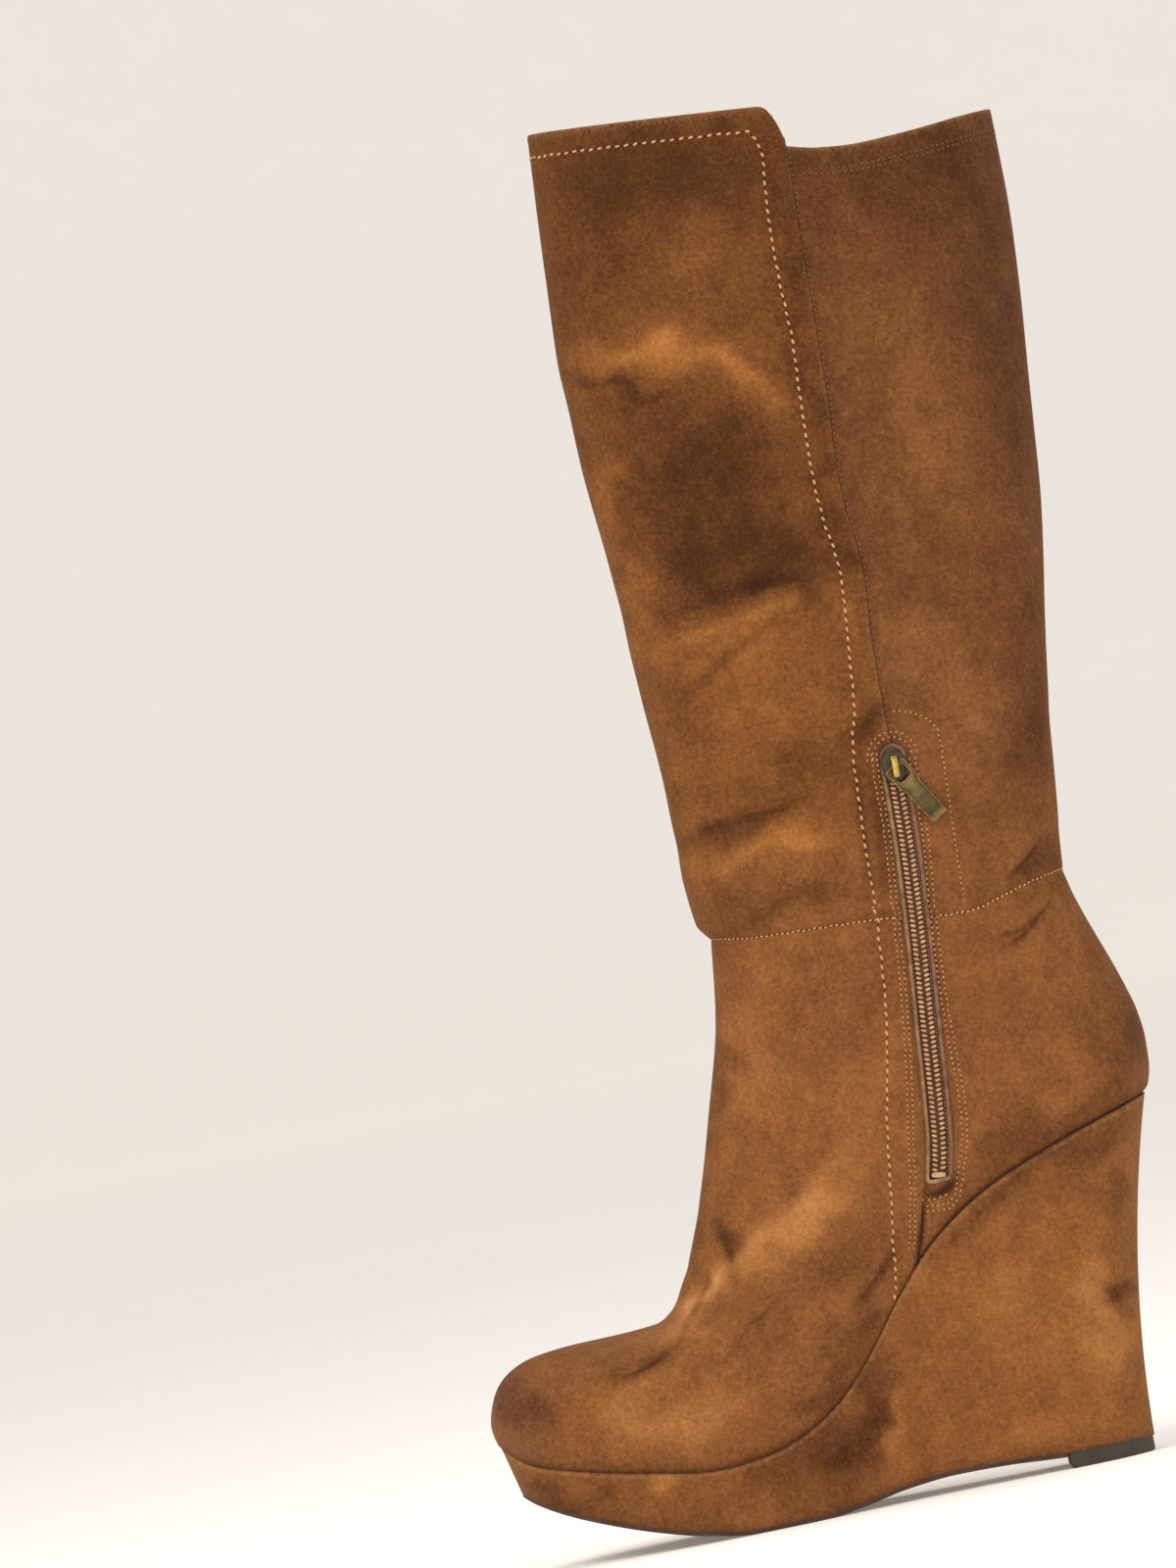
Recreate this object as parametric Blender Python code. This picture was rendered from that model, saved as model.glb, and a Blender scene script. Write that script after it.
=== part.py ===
"""Right knee-high boot on a covered wedge and platform.

The toe points along -X, the inner side of the foot with its short zip faces -Y, and Z is up.
The origin is on the floor under the middle of the heel tip. Sizes are in metres.
"""

import math

import bmesh
import bpy
import numpy as np
from mathutils import Matrix, Vector
from mathutils.bvhtree import BVHTree

MM = 0.001
GAP = 0.3 * MM
SEAT_GAP = 0.45 * MM

# Last: the foot's own sizes
FOOT_LENGTH = 250.0 * MM
HEEL_OVERHANG = 37.5 * MM
BALL_WIDTH = 86.0 * MM
HEEL_WIDTH = 61.0 * MM
HEEL_HEIGHT = 126.0 * MM
PLATFORM_HEIGHT = 25.0 * MM
TOE_RISE = 21.0 * MM
TOE_BOX_HEIGHT = 31.5 * MM
HEEL_BULGE = 4.0 * MM
ANKLE_HEIGHT = 210.0 * MM
ANKLE_DEPTH = 127.5 * MM
ANKLE_WIDTH = 64.0 * MM
ANKLE_SETBACK = 13.0 * MM
SEAM_SAG = 8.0 * MM

# Shaft: an empty, slack tube, so it is much deeper than it is wide
SHAFT_HEIGHT = 294.0 * MM
SHIN_BELLY = 13.2 * MM
CALF_SWELL = 27.7 * MM
CALF_WIDTH = 74.0 * MM
TOPLINE_DIP = 3.8 * MM
PANEL_FALL = 8.0 * MM
PANEL_STEP_UP = 15.0 * MM
PANEL_CORNER = 7.0 * MM

# Walls and layers
UPPER_WALL = 2.2 * MM
SHAFT_WALL = 1.8 * MM
PANEL_LIFT = 0.7 * MM
INSOLE_THICKNESS = 3.0 * MM
INSOLE_CLEARANCE = 0.6 * MM
OUTSOLE_THICKNESS = 2.0 * MM
TIP_THICKNESS = 6.4 * MM

# Wedge and platform
SOLE_WIDTH = 81.0 * MM
HEEL_BASE_WIDTH = 46.0 * MM
TOE_TUCK = 4.0 * MM
HEEL_RAKE = 20.5 * MM
WEDGE_HOLLOW = 4.2 * MM
TOE_SPRING = 28.0 * MM
ARCH_RISE = 6.0 * MM
COVER_PROUD = 0.8 * MM
COVER_EDGE = 1.2 * MM
OUTSOLE_INSET = 1.0 * MM
TIP_LENGTH = 29.0 * MM
TIP_INSET = 0.6 * MM
BREAST_GAP = 0.5 * MM

# Zip on the inner side
ZIP_LENGTH = 150.0 * MM
ZIP_CLEARANCE = 16.7656 * MM
ZIP_BOTTOM_FORWARD = 41.0 * MM
ZIP_LEAN = 13.0 * MM
WINDOW_WIDTH = 10.2 * MM
TAPE_WIDTH = 26.0 * MM
TAPE_THICKNESS = 0.8 * MM
COIL_WIDTH = 5.6 * MM
COIL_THICKNESS = 1.5 * MM
SLIDER_WIDTH = 9.0 * MM
SLIDER_DROP = 3.5 * MM
SLIDER_LENGTH = 11.0 * MM
SLIDER_PLATE = 1.2 * MM
BRIDGE_WIDTH = 1.5 * MM
BRIDGE_LENGTH = 6.6 * MM
BRIDGE_BAR = 0.9 * MM
BRIDGE_ROOM = 2.4 * MM
CHEEK_THICKNESS = 0.7 * MM
PULL_WIDTH = 6.6 * MM
PULL_HEAD_WIDTH = 8.4 * MM
PULL_LENGTH = 24.0 * MM
PULL_THICKNESS = 1.3 * MM
PULL_EYE_LENGTH = 5.2 * MM
PULL_EYE_WIDTH = 5.8 * MM
PULL_RIM = 1.6 * MM
PULL_SHOULDER = 2.0 * MM
PULL_CORNER = 1.0 * MM
PULL_SWING = math.radians(33.0)
PLATE_LEVEL = COIL_THICKNESS + 2 * GAP
STOP_HEIGHT = 2.2 * MM

FRONT_STEPS = 16
BACK_STEPS = 12
EDGE_HALF_STEP = 0.006
SOLE_STATIONS = 26
WEDGE_FALLS = (0.0, 0.03, 0.2, 0.4, 0.6, 0.8, 0.97)

# Feather line, where upper and wedge meet, read along the foot from toe 0 to heel 1.
# toe is a share of TOE_RISE, climb a share of the rise from platform to heel.
FEATHER_LINE = (
    # station, toe, climb
    (0.00, 1.00, 0.000),
    (0.04, 0.66, 0.000),
    (0.10, 0.44, 0.000),
    (0.20, 0.18, 0.000),
    (0.30, 0.00, 0.000),
    (0.36, 0.00, 0.012),
    (0.42, 0.00, 0.055),
    (0.48, 0.00, 0.140),
    (0.54, 0.00, 0.290),
    (0.60, 0.00, 0.480),
    (0.66, 0.00, 0.635),
    (0.74, 0.00, 0.770),
    (0.84, 0.00, 0.875),
    (1.00, 0.00, 1.000),
)

# Plan outline from toe 0 to heel 1. ball is the share of the ball's width in the local width,
# the rest being the heel's; medial and lateral are shares of that local width.
PLAN_OUTLINE = (
    # station, ball, medial, lateral
    (0.00, 1.00, 0.080, -0.080),
    (0.03, 1.00, 0.285, 0.150),
    (0.08, 1.00, 0.395, 0.290),
    (0.15, 1.00, 0.462, 0.395),
    (0.25, 1.00, 0.502, 0.474),
    (0.33, 1.00, 0.498, 0.504),
    (0.42, 1.00, 0.464, 0.512),
    (0.50, 0.70, 0.452, 0.540),
    (0.60, 0.40, 0.440, 0.536),
    (0.70, 0.15, 0.452, 0.520),
    (0.80, 0.00, 0.480, 0.512),
    (0.88, 0.00, 0.478, 0.494),
    (0.94, 0.00, 0.412, 0.420),
    (0.98, 0.00, 0.250, 0.255),
    (1.00, 0.00, 0.000, 0.000),
)

# Rows of the upper from the feather line 0 to the ankle seam 1. The front point runs round the
# toe, along its top and up the instep; the back point climbs the heel. front is a share of
# FOOT_LENGTH back from the toe, box a share of TOE_BOX_HEIGHT, climb a share of the instep's
# rise; rise is the heel's, of seat to ankle; sag is what is left of the feather line's shape.
# oval is the share of the ankle's oval in the row's plan, swell a factor on the sole's plan.
UPPER_ROWS = (
    # row, front, box, climb, rise, sag, oval, swell
    (0.00, 0.000, 0.00, 0.000, 0.00, 1.00, 0.00, 1.000),
    (0.06, -0.006, 0.26, 0.000, 0.06, 0.95, 0.00, 1.030),
    (0.12, 0.006, 0.58, 0.000, 0.12, 0.89, 0.02, 1.045),
    (0.18, 0.030, 0.80, 0.000, 0.18, 0.82, 0.05, 1.045),
    (0.24, 0.070, 0.93, 0.000, 0.25, 0.73, 0.10, 1.035),
    (0.31, 0.131, 0.98, 0.000, 0.35, 0.61, 0.16, 1.015),
    (0.38, 0.196, 0.99, 0.000, 0.46, 0.48, 0.24, 0.985),
    (0.44, 0.250, 1.00, 0.003, 0.56, 0.38, 0.32, 0.955),
    (0.49, 0.281, 1.00, 0.032, 0.63, 0.31, 0.40, 0.930),
    (0.56, 0.306, 1.00, 0.110, 0.70, 0.23, 0.52, 0.910),
    (0.65, 0.346, 1.00, 0.290, 0.775, 0.15, 0.66, 0.900),
    (0.77, 0.388, 1.00, 0.540, 0.86, 0.08, 0.81, 0.900),
    (0.89, 0.424, 1.00, 0.785, 0.935, 0.03, 0.93, 0.900),
    (1.00, 0.440, 1.00, 1.000, 1.00, 0.00, 1.00, 0.900),
)

# The heel's back line from the seat 0 to the ankle 1, out by shares of HEEL_BULGE and back in
# by shares of HEEL_BULGE and ANKLE_SETBACK together.
HEEL_LINE = (
    # rise, bulge, tuck
    (0.00, 0.00, 0.00),
    (0.04, 0.50, 0.00),
    (0.13, 0.92, 0.00),
    (0.24, 1.00, 0.00),
    (0.35, 1.00, 0.06),
    (0.46, 1.00, 0.20),
    (0.575, 1.00, 0.38),
    (0.69, 1.00, 0.58),
    (0.80, 1.00, 0.765),
    (0.915, 1.00, 0.93),
    (1.00, 1.00, 1.00),
)
UPPER_MESH_ROWS = (
    0.0, 0.03, 0.065, 0.10, 0.14, 0.18, 0.22, 0.27, 0.33, 0.39, 0.435, 0.47, 0.505, 0.55,
    0.62, 0.70, 0.79, 0.88, 0.95, 1.0,
)

# Shaft rows from the ankle seam 0 to the top of the front panel 1. front is a share of
# SHIN_BELLY, back of CALF_SWELL, width runs from the ankle's width 0 to the calf's 1.
SHAFT_ROWS = (
    # height, front, back, width
    (0.000, 0.00, 0.00, 0.00),
    (0.020, 0.33, 0.02, 0.12),
    (0.068, 0.42, 0.08, 0.22),
    (0.187, 0.44, 0.23, 0.42),
    (0.306, 0.58, 0.42, 0.62),
    (0.459, 0.72, 0.68, 0.84),
    (0.600, 0.95, 0.83, 0.97),
    (0.714, 1.00, 0.94, 1.00),
    (0.833, 0.88, 1.00, 0.95),
    (1.000, 0.62, 1.00, 0.86),
)
SHAFT_MESH_ROWS = (0.0, 0.02, 0.06, 0.13, 0.23, 0.34, 0.45, 0.56, 0.67, 0.78, 0.90, 1.03)
SEAM_FADE = 0.14
RIM_FADE = 0.12

# Sag of the ankle seam below its two ends, from front 0 to back 1, as a share of SEAM_SAG.
SEAM_LINE = (
    # station, sag
    (0.00, 0.00),
    (0.12, 0.30),
    (0.28, 0.42),
    (0.48, 0.60),
    (0.62, 0.95),
    (0.72, 1.00),
    (0.82, 0.62),
    (0.92, 0.20),
    (1.00, 0.00),
)

# Topline of the back panel, from the front panel's edge 0 to the back 1, down by TOPLINE_DIP.
TOPLINE_BACK = (
    # share, dip
    (0.02, 0.10),
    (0.15, 0.70),
    (0.33, 1.00),
    (0.60, 0.75),
    (0.85, 0.25),
    (1.00, 0.00),
)

# Edge of the front panel and of the vamp below it, as a share of each row's depth.
# row runs 0 to 1 up the upper and 1 to 2 up the shaft.
PANEL_EDGE = (
    # row, edge
    (0.00, 0.626),
    (0.12, 0.648),
    (0.18, 0.653),
    (0.26, 0.645),
    (0.38, 0.613),
    (0.46, 0.597),
    (0.55, 0.590),
    (0.75, 0.573),
    (1.00, 0.566),
    (1.06, 0.590),
    (1.13, 0.587),
    (1.25, 0.570),
    (1.45, 0.553),
    (1.60, 0.546),
    (1.90, 0.550),
    (2.00, 0.545),
)

# Tread line from toe 0 to the end of the wedge's base 1, up from the floor.
# spring is a share of TOE_SPRING, arch of ARCH_RISE.
TREAD_LINE = (
    # station, spring, arch
    (0.00, 1.00, 0.00),
    (0.02, 0.88, 0.00),
    (0.06, 0.70, 0.00),
    (0.12, 0.49, 0.00),
    (0.20, 0.26, 0.00),
    (0.28, 0.09, 0.00),
    (0.36, 0.00, 0.00),
    (0.47, 0.00, 0.00),
    (0.53, 0.00, 0.28),
    (0.60, 0.00, 0.76),
    (0.68, 0.00, 1.00),
    (0.76, 0.00, 0.95),
    (0.82, 0.00, 0.80),
    (0.86, 0.00, 0.72),
    (1.00, 0.00, 0.72),
)

# The zip's centre line from its bottom stop 0 to the slider 1, as shares of length and lean.
ZIP_LINE = (
    # along, back
    (0.00, 0.00),
    (0.10, 0.23),
    (0.37, 0.53),
    (0.63, 0.80),
    (0.80, 0.93),
    (1.00, 1.00),
)


def column(table, index):
    """One column of a table as an array."""
    return np.array([line[index] for line in table], float)


def smooth(table, index, at):
    """Reads a column at any station: a cubic between lines, with slopes that never overshoot."""
    xs = column(table, 0)
    ys = column(table, index)
    at = np.clip(np.asarray(at, float), xs[0], xs[-1])
    steps = np.diff(xs)
    rises = np.diff(ys) / steps
    slopes = np.zeros_like(ys)
    same_way = rises[:-1] * rises[1:] > 0
    weights = 2 * steps[1:] + steps[:-1], steps[1:] + 2 * steps[:-1]
    safe = np.where(same_way, rises[:-1] * rises[1:], 1.0)
    blend = weights[0] / np.where(same_way, rises[:-1], 1.0) + weights[1] / np.where(same_way, rises[1:], 1.0)
    slopes[1:-1] = np.where(same_way & (safe > 0), (weights[0] + weights[1]) / blend, 0.0)
    slopes[0] = rises[0]
    slopes[-1] = rises[-1]
    cell = np.clip(np.searchsorted(xs, at, side="right") - 1, 0, len(xs) - 2)
    width = steps[cell]
    share = (at - xs[cell]) / width
    near = (1 + 2 * share) * (1 - share) ** 2 * ys[cell] + share * (1 - share) ** 2 * width * slopes[cell]
    far = share**2 * (3 - 2 * share) * ys[cell + 1] + share**2 * (share - 1) * width * slopes[cell + 1]
    return near + far


def angle_of(station):
    """Turns a station into an angle, so that stations crowd at the round toe and heel."""
    return np.arccos(1 - 2 * np.clip(station, 0, 1))


def station_of(angle):
    """Turns an angle back into a station."""
    return (1 - np.cos(angle)) / 2


def between(start, end, share):
    """The value a share of the way from start to end."""
    return start + (end - start) * share


TOE_X = HEEL_OVERHANG - FOOT_LENGTH
ANKLE_BACK_X = HEEL_OVERHANG - ANKLE_SETBACK
ANKLE_FRONT_X = ANKLE_BACK_X - ANKLE_DEPTH
BASE_TOE_X = TOE_X + TOE_TUCK
BASE_HEEL_X = HEEL_OVERHANG - HEEL_RAKE
BASE_LENGTH = BASE_HEEL_X - BASE_TOE_X


def plan(angle, ball_width, heel_width):
    """Half-breadths of the sole's plan, medial and lateral, at an angle round toe 0 to heel pi."""
    angles = tuple((float(angle_of(line[0])),) + line[1:] for line in PLAN_OUTLINE)
    share = smooth(angles, 1, angle)
    width = share * ball_width + (1 - share) * heel_width
    return smooth(angles, 2, angle) * width, smooth(angles, 3, angle) * width


def feather_height(station):
    """Height of the feather line at a station from toe 0 to heel 1."""
    return (
        PLATFORM_HEIGHT
        + TOE_RISE * smooth(FEATHER_LINE, 1, station)
        + (HEEL_HEIGHT - PLATFORM_HEIGHT) * smooth(FEATHER_LINE, 2, station)
    )


def foot_stations():
    """Stations of the wedge's sections, the same as the columns of the upper's lowest ring."""
    angles, sides, _ = ring_angles(0.0)
    return station_of(np.unique(angles[sides < 0]))


def seat_height(x):
    """Height of the wedge's seat at a place along the foot, straight between its sections."""
    stations = foot_stations()
    return np.interp((x - TOE_X) / FOOT_LENGTH, stations, feather_height(stations))


def tread_height(station):
    """Height of the outsole's tread above the floor."""
    return TOE_SPRING * smooth(TREAD_LINE, 1, station) + ARCH_RISE * smooth(TREAD_LINE, 2, station)


def feather_sag(station):
    """How far the feather line lies below the straight line between its two ends."""
    ends = feather_height(0.0), feather_height(1.0)
    return feather_height(station) - between(ends[0], ends[1], station)


def seam_sag(station):
    """How far the ankle seam lies below its two ends."""
    return -SEAM_SAG * smooth(SEAM_LINE, 1, station)


def upper_ends(row):
    """Front and back points (x, z) of a row of the upper, 0 at the feather line to 1 at the ankle."""
    toe_z = feather_height(0.0)
    box_top = toe_z + TOE_BOX_HEIGHT
    front_x = between(TOE_X, ANKLE_FRONT_X, smooth(UPPER_ROWS, 1, row) / UPPER_ROWS[-1][1])
    front_z = (
        toe_z
        + TOE_BOX_HEIGHT * smooth(UPPER_ROWS, 2, row)
        + (ANKLE_HEIGHT - box_top) * smooth(UPPER_ROWS, 3, row)
    )
    rise = smooth(UPPER_ROWS, 4, row)
    back_x = (
        HEEL_OVERHANG
        + HEEL_BULGE * smooth(HEEL_LINE, 1, rise)
        - (HEEL_BULGE + ANKLE_SETBACK) * smooth(HEEL_LINE, 2, rise)
    )
    back_z = between(HEEL_HEIGHT, ANKLE_HEIGHT, rise)
    return front_x, front_z, back_x, back_z


def shaft_ends(height):
    """Front and back points (x, z) of a row of the shaft, 0 at the ankle seam to 1 at the top."""
    front_x = ANKLE_FRONT_X - SHIN_BELLY * smooth(SHAFT_ROWS, 1, height)
    back_x = ANKLE_BACK_X + CALF_SWELL * smooth(SHAFT_ROWS, 2, height)
    level = ANKLE_HEIGHT + SHAFT_HEIGHT * np.asarray(height, float)
    return front_x, level, back_x, level


def upper_point(row, angle, side):
    """A point of the upper's outer face. side is -1 on the inner side of the foot, 1 on the outer."""
    station = station_of(angle)
    front_x, front_z, back_x, back_z = upper_ends(row)
    x = between(front_x, back_x, station)
    sag = smooth(UPPER_ROWS, 5, row)
    z = between(front_z, back_z, station) + sag * feather_sag(station) + (1 - sag) * seam_sag(station)
    medial, lateral = plan(angle, BALL_WIDTH, HEEL_WIDTH)
    sole_side = np.where(side < 0, -medial, lateral)
    oval_side = side * ANKLE_WIDTH / 2 * np.sin(angle)
    oval = smooth(UPPER_ROWS, 6, row)
    y = (1 - oval) * smooth(UPPER_ROWS, 7, row) * sole_side + oval * oval_side
    return x, y, z


def shaft_point(height, angle, side):
    """A point of the shaft's outer face."""
    station = station_of(angle)
    front_x, front_z, back_x, back_z = shaft_ends(height)
    fade = np.clip(1 - np.asarray(height, float) / SEAM_FADE, 0, 1)
    x = between(front_x, back_x, station)
    z = between(front_z, back_z, station) + fade**2 * (3 - 2 * fade) * seam_sag(station)
    y = side * between(ANKLE_WIDTH, CALF_WIDTH, smooth(SHAFT_ROWS, 3, height)) / 2 * np.sin(angle)
    return x, y, z


def ring_angles(row):
    """Angles round one row and their sides. The panel's edge gets two columns close together."""
    edge = float(angle_of(smooth(PANEL_EDGE, 1, row)))
    half = np.concatenate(
        [
            np.linspace(0, edge - EDGE_HALF_STEP, FRONT_STEPS + 1),
            np.linspace(edge + EDGE_HALF_STEP, math.pi, BACK_STEPS + 1),
        ]
    )
    angles = np.concatenate([half, half[-2:0:-1]])
    sides = np.concatenate([-np.ones(len(half)), np.ones(len(half) - 2)])
    lifted = angles < edge
    return angles, sides, lifted


def wall_grids(point, heights, row_of, wall):
    """Rings of points of the outer and the inner face. The front panel stands PANEL_LIFT proud."""
    rows = []
    lifts = []
    for height in heights:
        angles, sides, lifted = ring_angles(row_of(height))
        x, y, z = point(height, angles, sides)
        rows.append(np.stack([x, y, z + 0 * x], axis=1))
        lifts.append(lifted * PANEL_LIFT)
    plain = np.array(rows)
    normal = outward(plain, heights)
    outer = plain + normal * np.array(lifts)[:, :, None]
    return outer, plain - normal * wall


def outward(grid, heights):
    """Unit normals of a grid of rings, pointing out of the boot and turning level at its two rims."""
    around = np.roll(grid, -2, axis=1) - np.roll(grid, 2, axis=1)
    up = np.gradient(grid, axis=0)
    normal = np.cross(around, up)
    heights = np.asarray(heights)
    from_rim = np.minimum(heights - heights[0], heights[-1] - heights)
    normal[:, :, 2] *= np.clip(from_rim / RIM_FADE, 0, 1)[:, None]
    return normal / np.linalg.norm(normal, axis=2, keepdims=True)


def inner_face():
    """A fine mesh of the boot's inner side, asked for the face behind a place in the side view."""
    angles = np.linspace(0.8, 2.5, 86)
    rows = [upper_point(row, angles, -1) for row in np.linspace(0.0, 1.0, 91)]
    rows += [shaft_point(height, angles, -1) for height in np.linspace(0.0, 0.45, 41)[1:]]
    points = np.array([np.stack([x, y, z], axis=1) for x, y, z in rows])
    count, across = points.shape[:2]
    corner = (np.arange(count - 1)[:, None] * across + np.arange(across - 1)).ravel()
    faces = np.stack([corner, corner + 1, corner + across + 1, corner + across], axis=1)
    return BVHTree.FromPolygons(points.reshape(-1, 3).tolist(), faces.tolist())


def finish(name, colour, roughness, metallic=0.0):
    """A plain material of that colour."""
    material = bpy.data.materials.get(name) or bpy.data.materials.new(name)
    material.use_nodes = True
    shader = material.node_tree.nodes["Principled BSDF"]
    shader.inputs["Base Color"].default_value = (*colour, 1.0)
    shader.inputs["Roughness"].default_value = roughness
    shader.inputs["Metallic"].default_value = metallic
    return material


def suede():
    """Brown microsuede."""
    return finish("suede", (0.21, 0.085, 0.030), 0.95)


def sock_cloth():
    """Pale cloth of the sock lining."""
    return finish("sock_cloth", (0.33, 0.24, 0.16), 0.9)


def sole_rubber():
    """Dark brown sole rubber."""
    return finish("sole_rubber", (0.045, 0.028, 0.018), 0.6)


def tip_rubber():
    """Olive black rubber of the heel tip."""
    return finish("tip_rubber", (0.035, 0.030, 0.020), 0.55)


def tape_cloth():
    """Woven brown zip tape."""
    return finish("tape_cloth", (0.12, 0.055, 0.028), 0.85)


def coil_nylon():
    """Tan nylon of the zip's coil."""
    return finish("coil_nylon", (0.36, 0.19, 0.10), 0.45)


def old_brass():
    """Dark old brass of slider and pull."""
    return finish("old_brass", (0.20, 0.15, 0.055), 0.38, 0.9)


def collection(name, helper=False):
    """A collection in the scene; one of helpers isn't rendered."""
    made = bpy.data.collections.new(name)
    made.hide_render = helper
    bpy.context.scene.collection.children.link(made)
    return made


def mesh_object(name, points, faces, material, into):
    """A mesh object with its doubles merged, its faces turned out and its round parts shaded smooth."""
    mesh = bpy.data.meshes.new(name)
    mesh.from_pydata([tuple(point) for point in points], [], faces)
    work = bmesh.new()
    work.from_mesh(mesh)
    bmesh.ops.remove_doubles(work, verts=work.verts, dist=0.01 * MM)
    bmesh.ops.dissolve_degenerate(work, edges=work.edges, dist=0.005 * MM)
    bmesh.ops.recalc_face_normals(work, faces=work.faces)
    work.to_mesh(mesh)
    work.free()
    mesh.shade_smooth()
    mesh.set_sharp_from_angle(angle=math.radians(40))
    mesh.materials.append(material)
    made = bpy.data.objects.new(name, mesh)
    into.objects.link(made)
    return made


def loft(name, sections, material, into):
    """A closed solid through closed sections (sections, points, 3), with a face over each end."""
    sections = np.asarray(sections, float)
    count, around = sections.shape[:2]
    faces = [tuple(range(around))[::-1], tuple(range((count - 1) * around, count * around))]
    for ring in range(count - 1):
        for step in range(around):
            after = (step + 1) % around
            faces.append(
                (
                    ring * around + step,
                    ring * around + after,
                    (ring + 1) * around + after,
                    (ring + 1) * around + step,
                )
            )
    return mesh_object(name, sections.reshape(-1, 3), faces, material, into)


def ring_faces(low, high, around):
    """Faces between two rings of points that start at those indices."""
    pairs = [(step, (step + 1) % around) for step in range(around)]
    return [(low + step, low + after, high + after, high + step) for step, after in pairs]


def walled_tube(name, outer, inner, material, into):
    """An open tube between two grids of rings, its rims closed from the outer to the inner face."""
    count, around = outer.shape[:2]
    size = count * around
    faces = []
    for ring in range(count - 1):
        low = ring * around
        faces += ring_faces(low, low + around, around)
        faces += [face[::-1] for face in ring_faces(size + low, size + low + around, around)]
    faces += ring_faces(size, 0, around)
    faces += ring_faces(size - around, 2 * size - around, around)
    points = np.concatenate([outer.reshape(-1, 3), inner.reshape(-1, 3)])
    return mesh_object(name, points, faces, material, into)


def plate(name, outline, thickness, material, into):
    """A flat plate from an outline in its own XY plane, centred on it, made a mesh from a curve."""
    curve = bpy.data.curves.new(name, "CURVE")
    curve.dimensions = "2D"
    curve.fill_mode = "BOTH"
    curve.extrude = thickness / 2
    line = curve.splines.new("POLY")
    line.points.add(len(outline) - 1)
    for point, place in zip(line.points, outline):
        point.co = (place[0], place[1], 0.0, 1.0)
    line.use_cyclic_u = True
    drawn = bpy.data.objects.new(name + "_outline", curve)
    into.objects.link(drawn)
    bpy.context.view_layer.update()
    graph = bpy.context.evaluated_depsgraph_get()
    mesh = bpy.data.meshes.new_from_object(drawn.evaluated_get(graph))
    bpy.data.objects.remove(drawn)
    work = bmesh.new()
    work.from_mesh(mesh)
    bmesh.ops.remove_doubles(work, verts=work.verts, dist=0.01 * MM)
    bmesh.ops.recalc_face_normals(work, faces=work.faces)
    work.to_mesh(mesh)
    work.free()
    mesh.name = name
    mesh.materials.clear()
    if material:
        mesh.materials.append(material)
    made = bpy.data.objects.new(name, mesh)
    into.objects.link(made)
    return made


def cut(piece, cutter, operation="DIFFERENCE"):
    """A Boolean modifier, exact, by another mesh object."""
    modifier = piece.modifiers.new(cutter.name, "BOOLEAN")
    modifier.operation = operation
    modifier.object = cutter
    modifier.solver = "EXACT"


def helper(piece):
    """Marks a cutter or a piece that another one takes in."""
    piece.hide_render = True
    piece.display_type = "WIRE"
    return piece


def side_cutter(name, outline, y_from, y_to, into):
    """A prism whose outline is drawn in the side view (x, z), running across from y_from to y_to."""
    made = plate(name, outline, abs(y_to - y_from), None, into)
    made.matrix_world = Matrix.Translation((0, (y_from + y_to) / 2, 0)) @ Matrix.Rotation(
        math.radians(90), 4, "X"
    )
    return helper(made)


def arc(centre, radius, start, end, steps):
    """Points on an arc in a plane, angles in degrees."""
    angles = np.radians(np.linspace(start, end, steps + 1))
    return [(centre[0] + radius * math.cos(a), centre[1] + radius * math.sin(a)) for a in angles]


def zip_bottom():
    """Height of the zip's bottom stop: a clearance above the feather line under it."""
    return feather_height((-ZIP_BOTTOM_FORWARD - TOE_X) / FOOT_LENGTH) + ZIP_CLEARANCE


def zip_place(share):
    """(x, z) of the zip's centre line in the side view, bottom stop 0 to slider 1."""
    x = -ZIP_BOTTOM_FORWARD + ZIP_LEAN * smooth(ZIP_LINE, 1, share)
    z = zip_bottom() + ZIP_LENGTH * np.asarray(share, float)
    return np.array([float(x), float(z)])


def zip_across(share):
    """Unit vector across the zip's line in the side view, towards the heel."""
    step = 0.01
    along = zip_place(min(share + step, 1.0)) - zip_place(max(share - step, 0.0))
    along = along / np.linalg.norm(along)
    return np.array([along[1], -along[0]])


def side_at(face, x, z):
    """Where a line across the boot at (x, z) of the side view meets its inner side."""
    hit, _, _, _ = face.ray_cast(Vector((x, -1, z)), Vector((0, 1, 0)))
    return hit.y


def face_point(face, x, z, depth):
    """The point a depth inside the boot's inner side, square to its face, and that face's normal."""
    step = 2 * MM
    slope_x = (side_at(face, x + step, z) - side_at(face, x - step, z)) / (2 * step)
    slope_z = (side_at(face, x, z + step) - side_at(face, x, z - step)) / (2 * step)
    normal = np.array([slope_x, -1.0, slope_z])
    normal /= np.linalg.norm(normal)
    return np.array([x, side_at(face, x, z), z]) - normal * depth, normal


def zip_strip(face, share, half_width, depth, thickness, columns):
    """A closed section across the zip: its outer face at a depth, its inner one a thickness deeper."""
    centre = zip_place(share)
    across = zip_across(share)
    outer = []
    inner = []
    for offset in np.linspace(-half_width, half_width, columns):
        x, z = centre + across * offset
        outer.append(face_point(face, x, z, depth)[0])
        inner.append(face_point(face, x, z, depth + thickness)[0])
    return outer + inner[::-1]


def window_outline():
    """Outline in the side view of the opening that shows the zip, with a round top."""
    half = WINDOW_WIDTH / 2
    shares = np.linspace(-0.012, 1.0, 16)
    left = []
    right = []
    for share in shares:
        centre = zip_place(share)
        across = zip_across(float(np.clip(share, 0, 1)))
        left.append(tuple(centre - across * half))
        right.append(tuple(centre + across * half))
    top = zip_place(1.0)
    tilt = math.degrees(math.atan2(zip_across(1.0)[1], zip_across(1.0)[0]))
    crown = arc(top, half, tilt, tilt + 180, 8)
    return right + crown[1:-1] + left[::-1]


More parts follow.
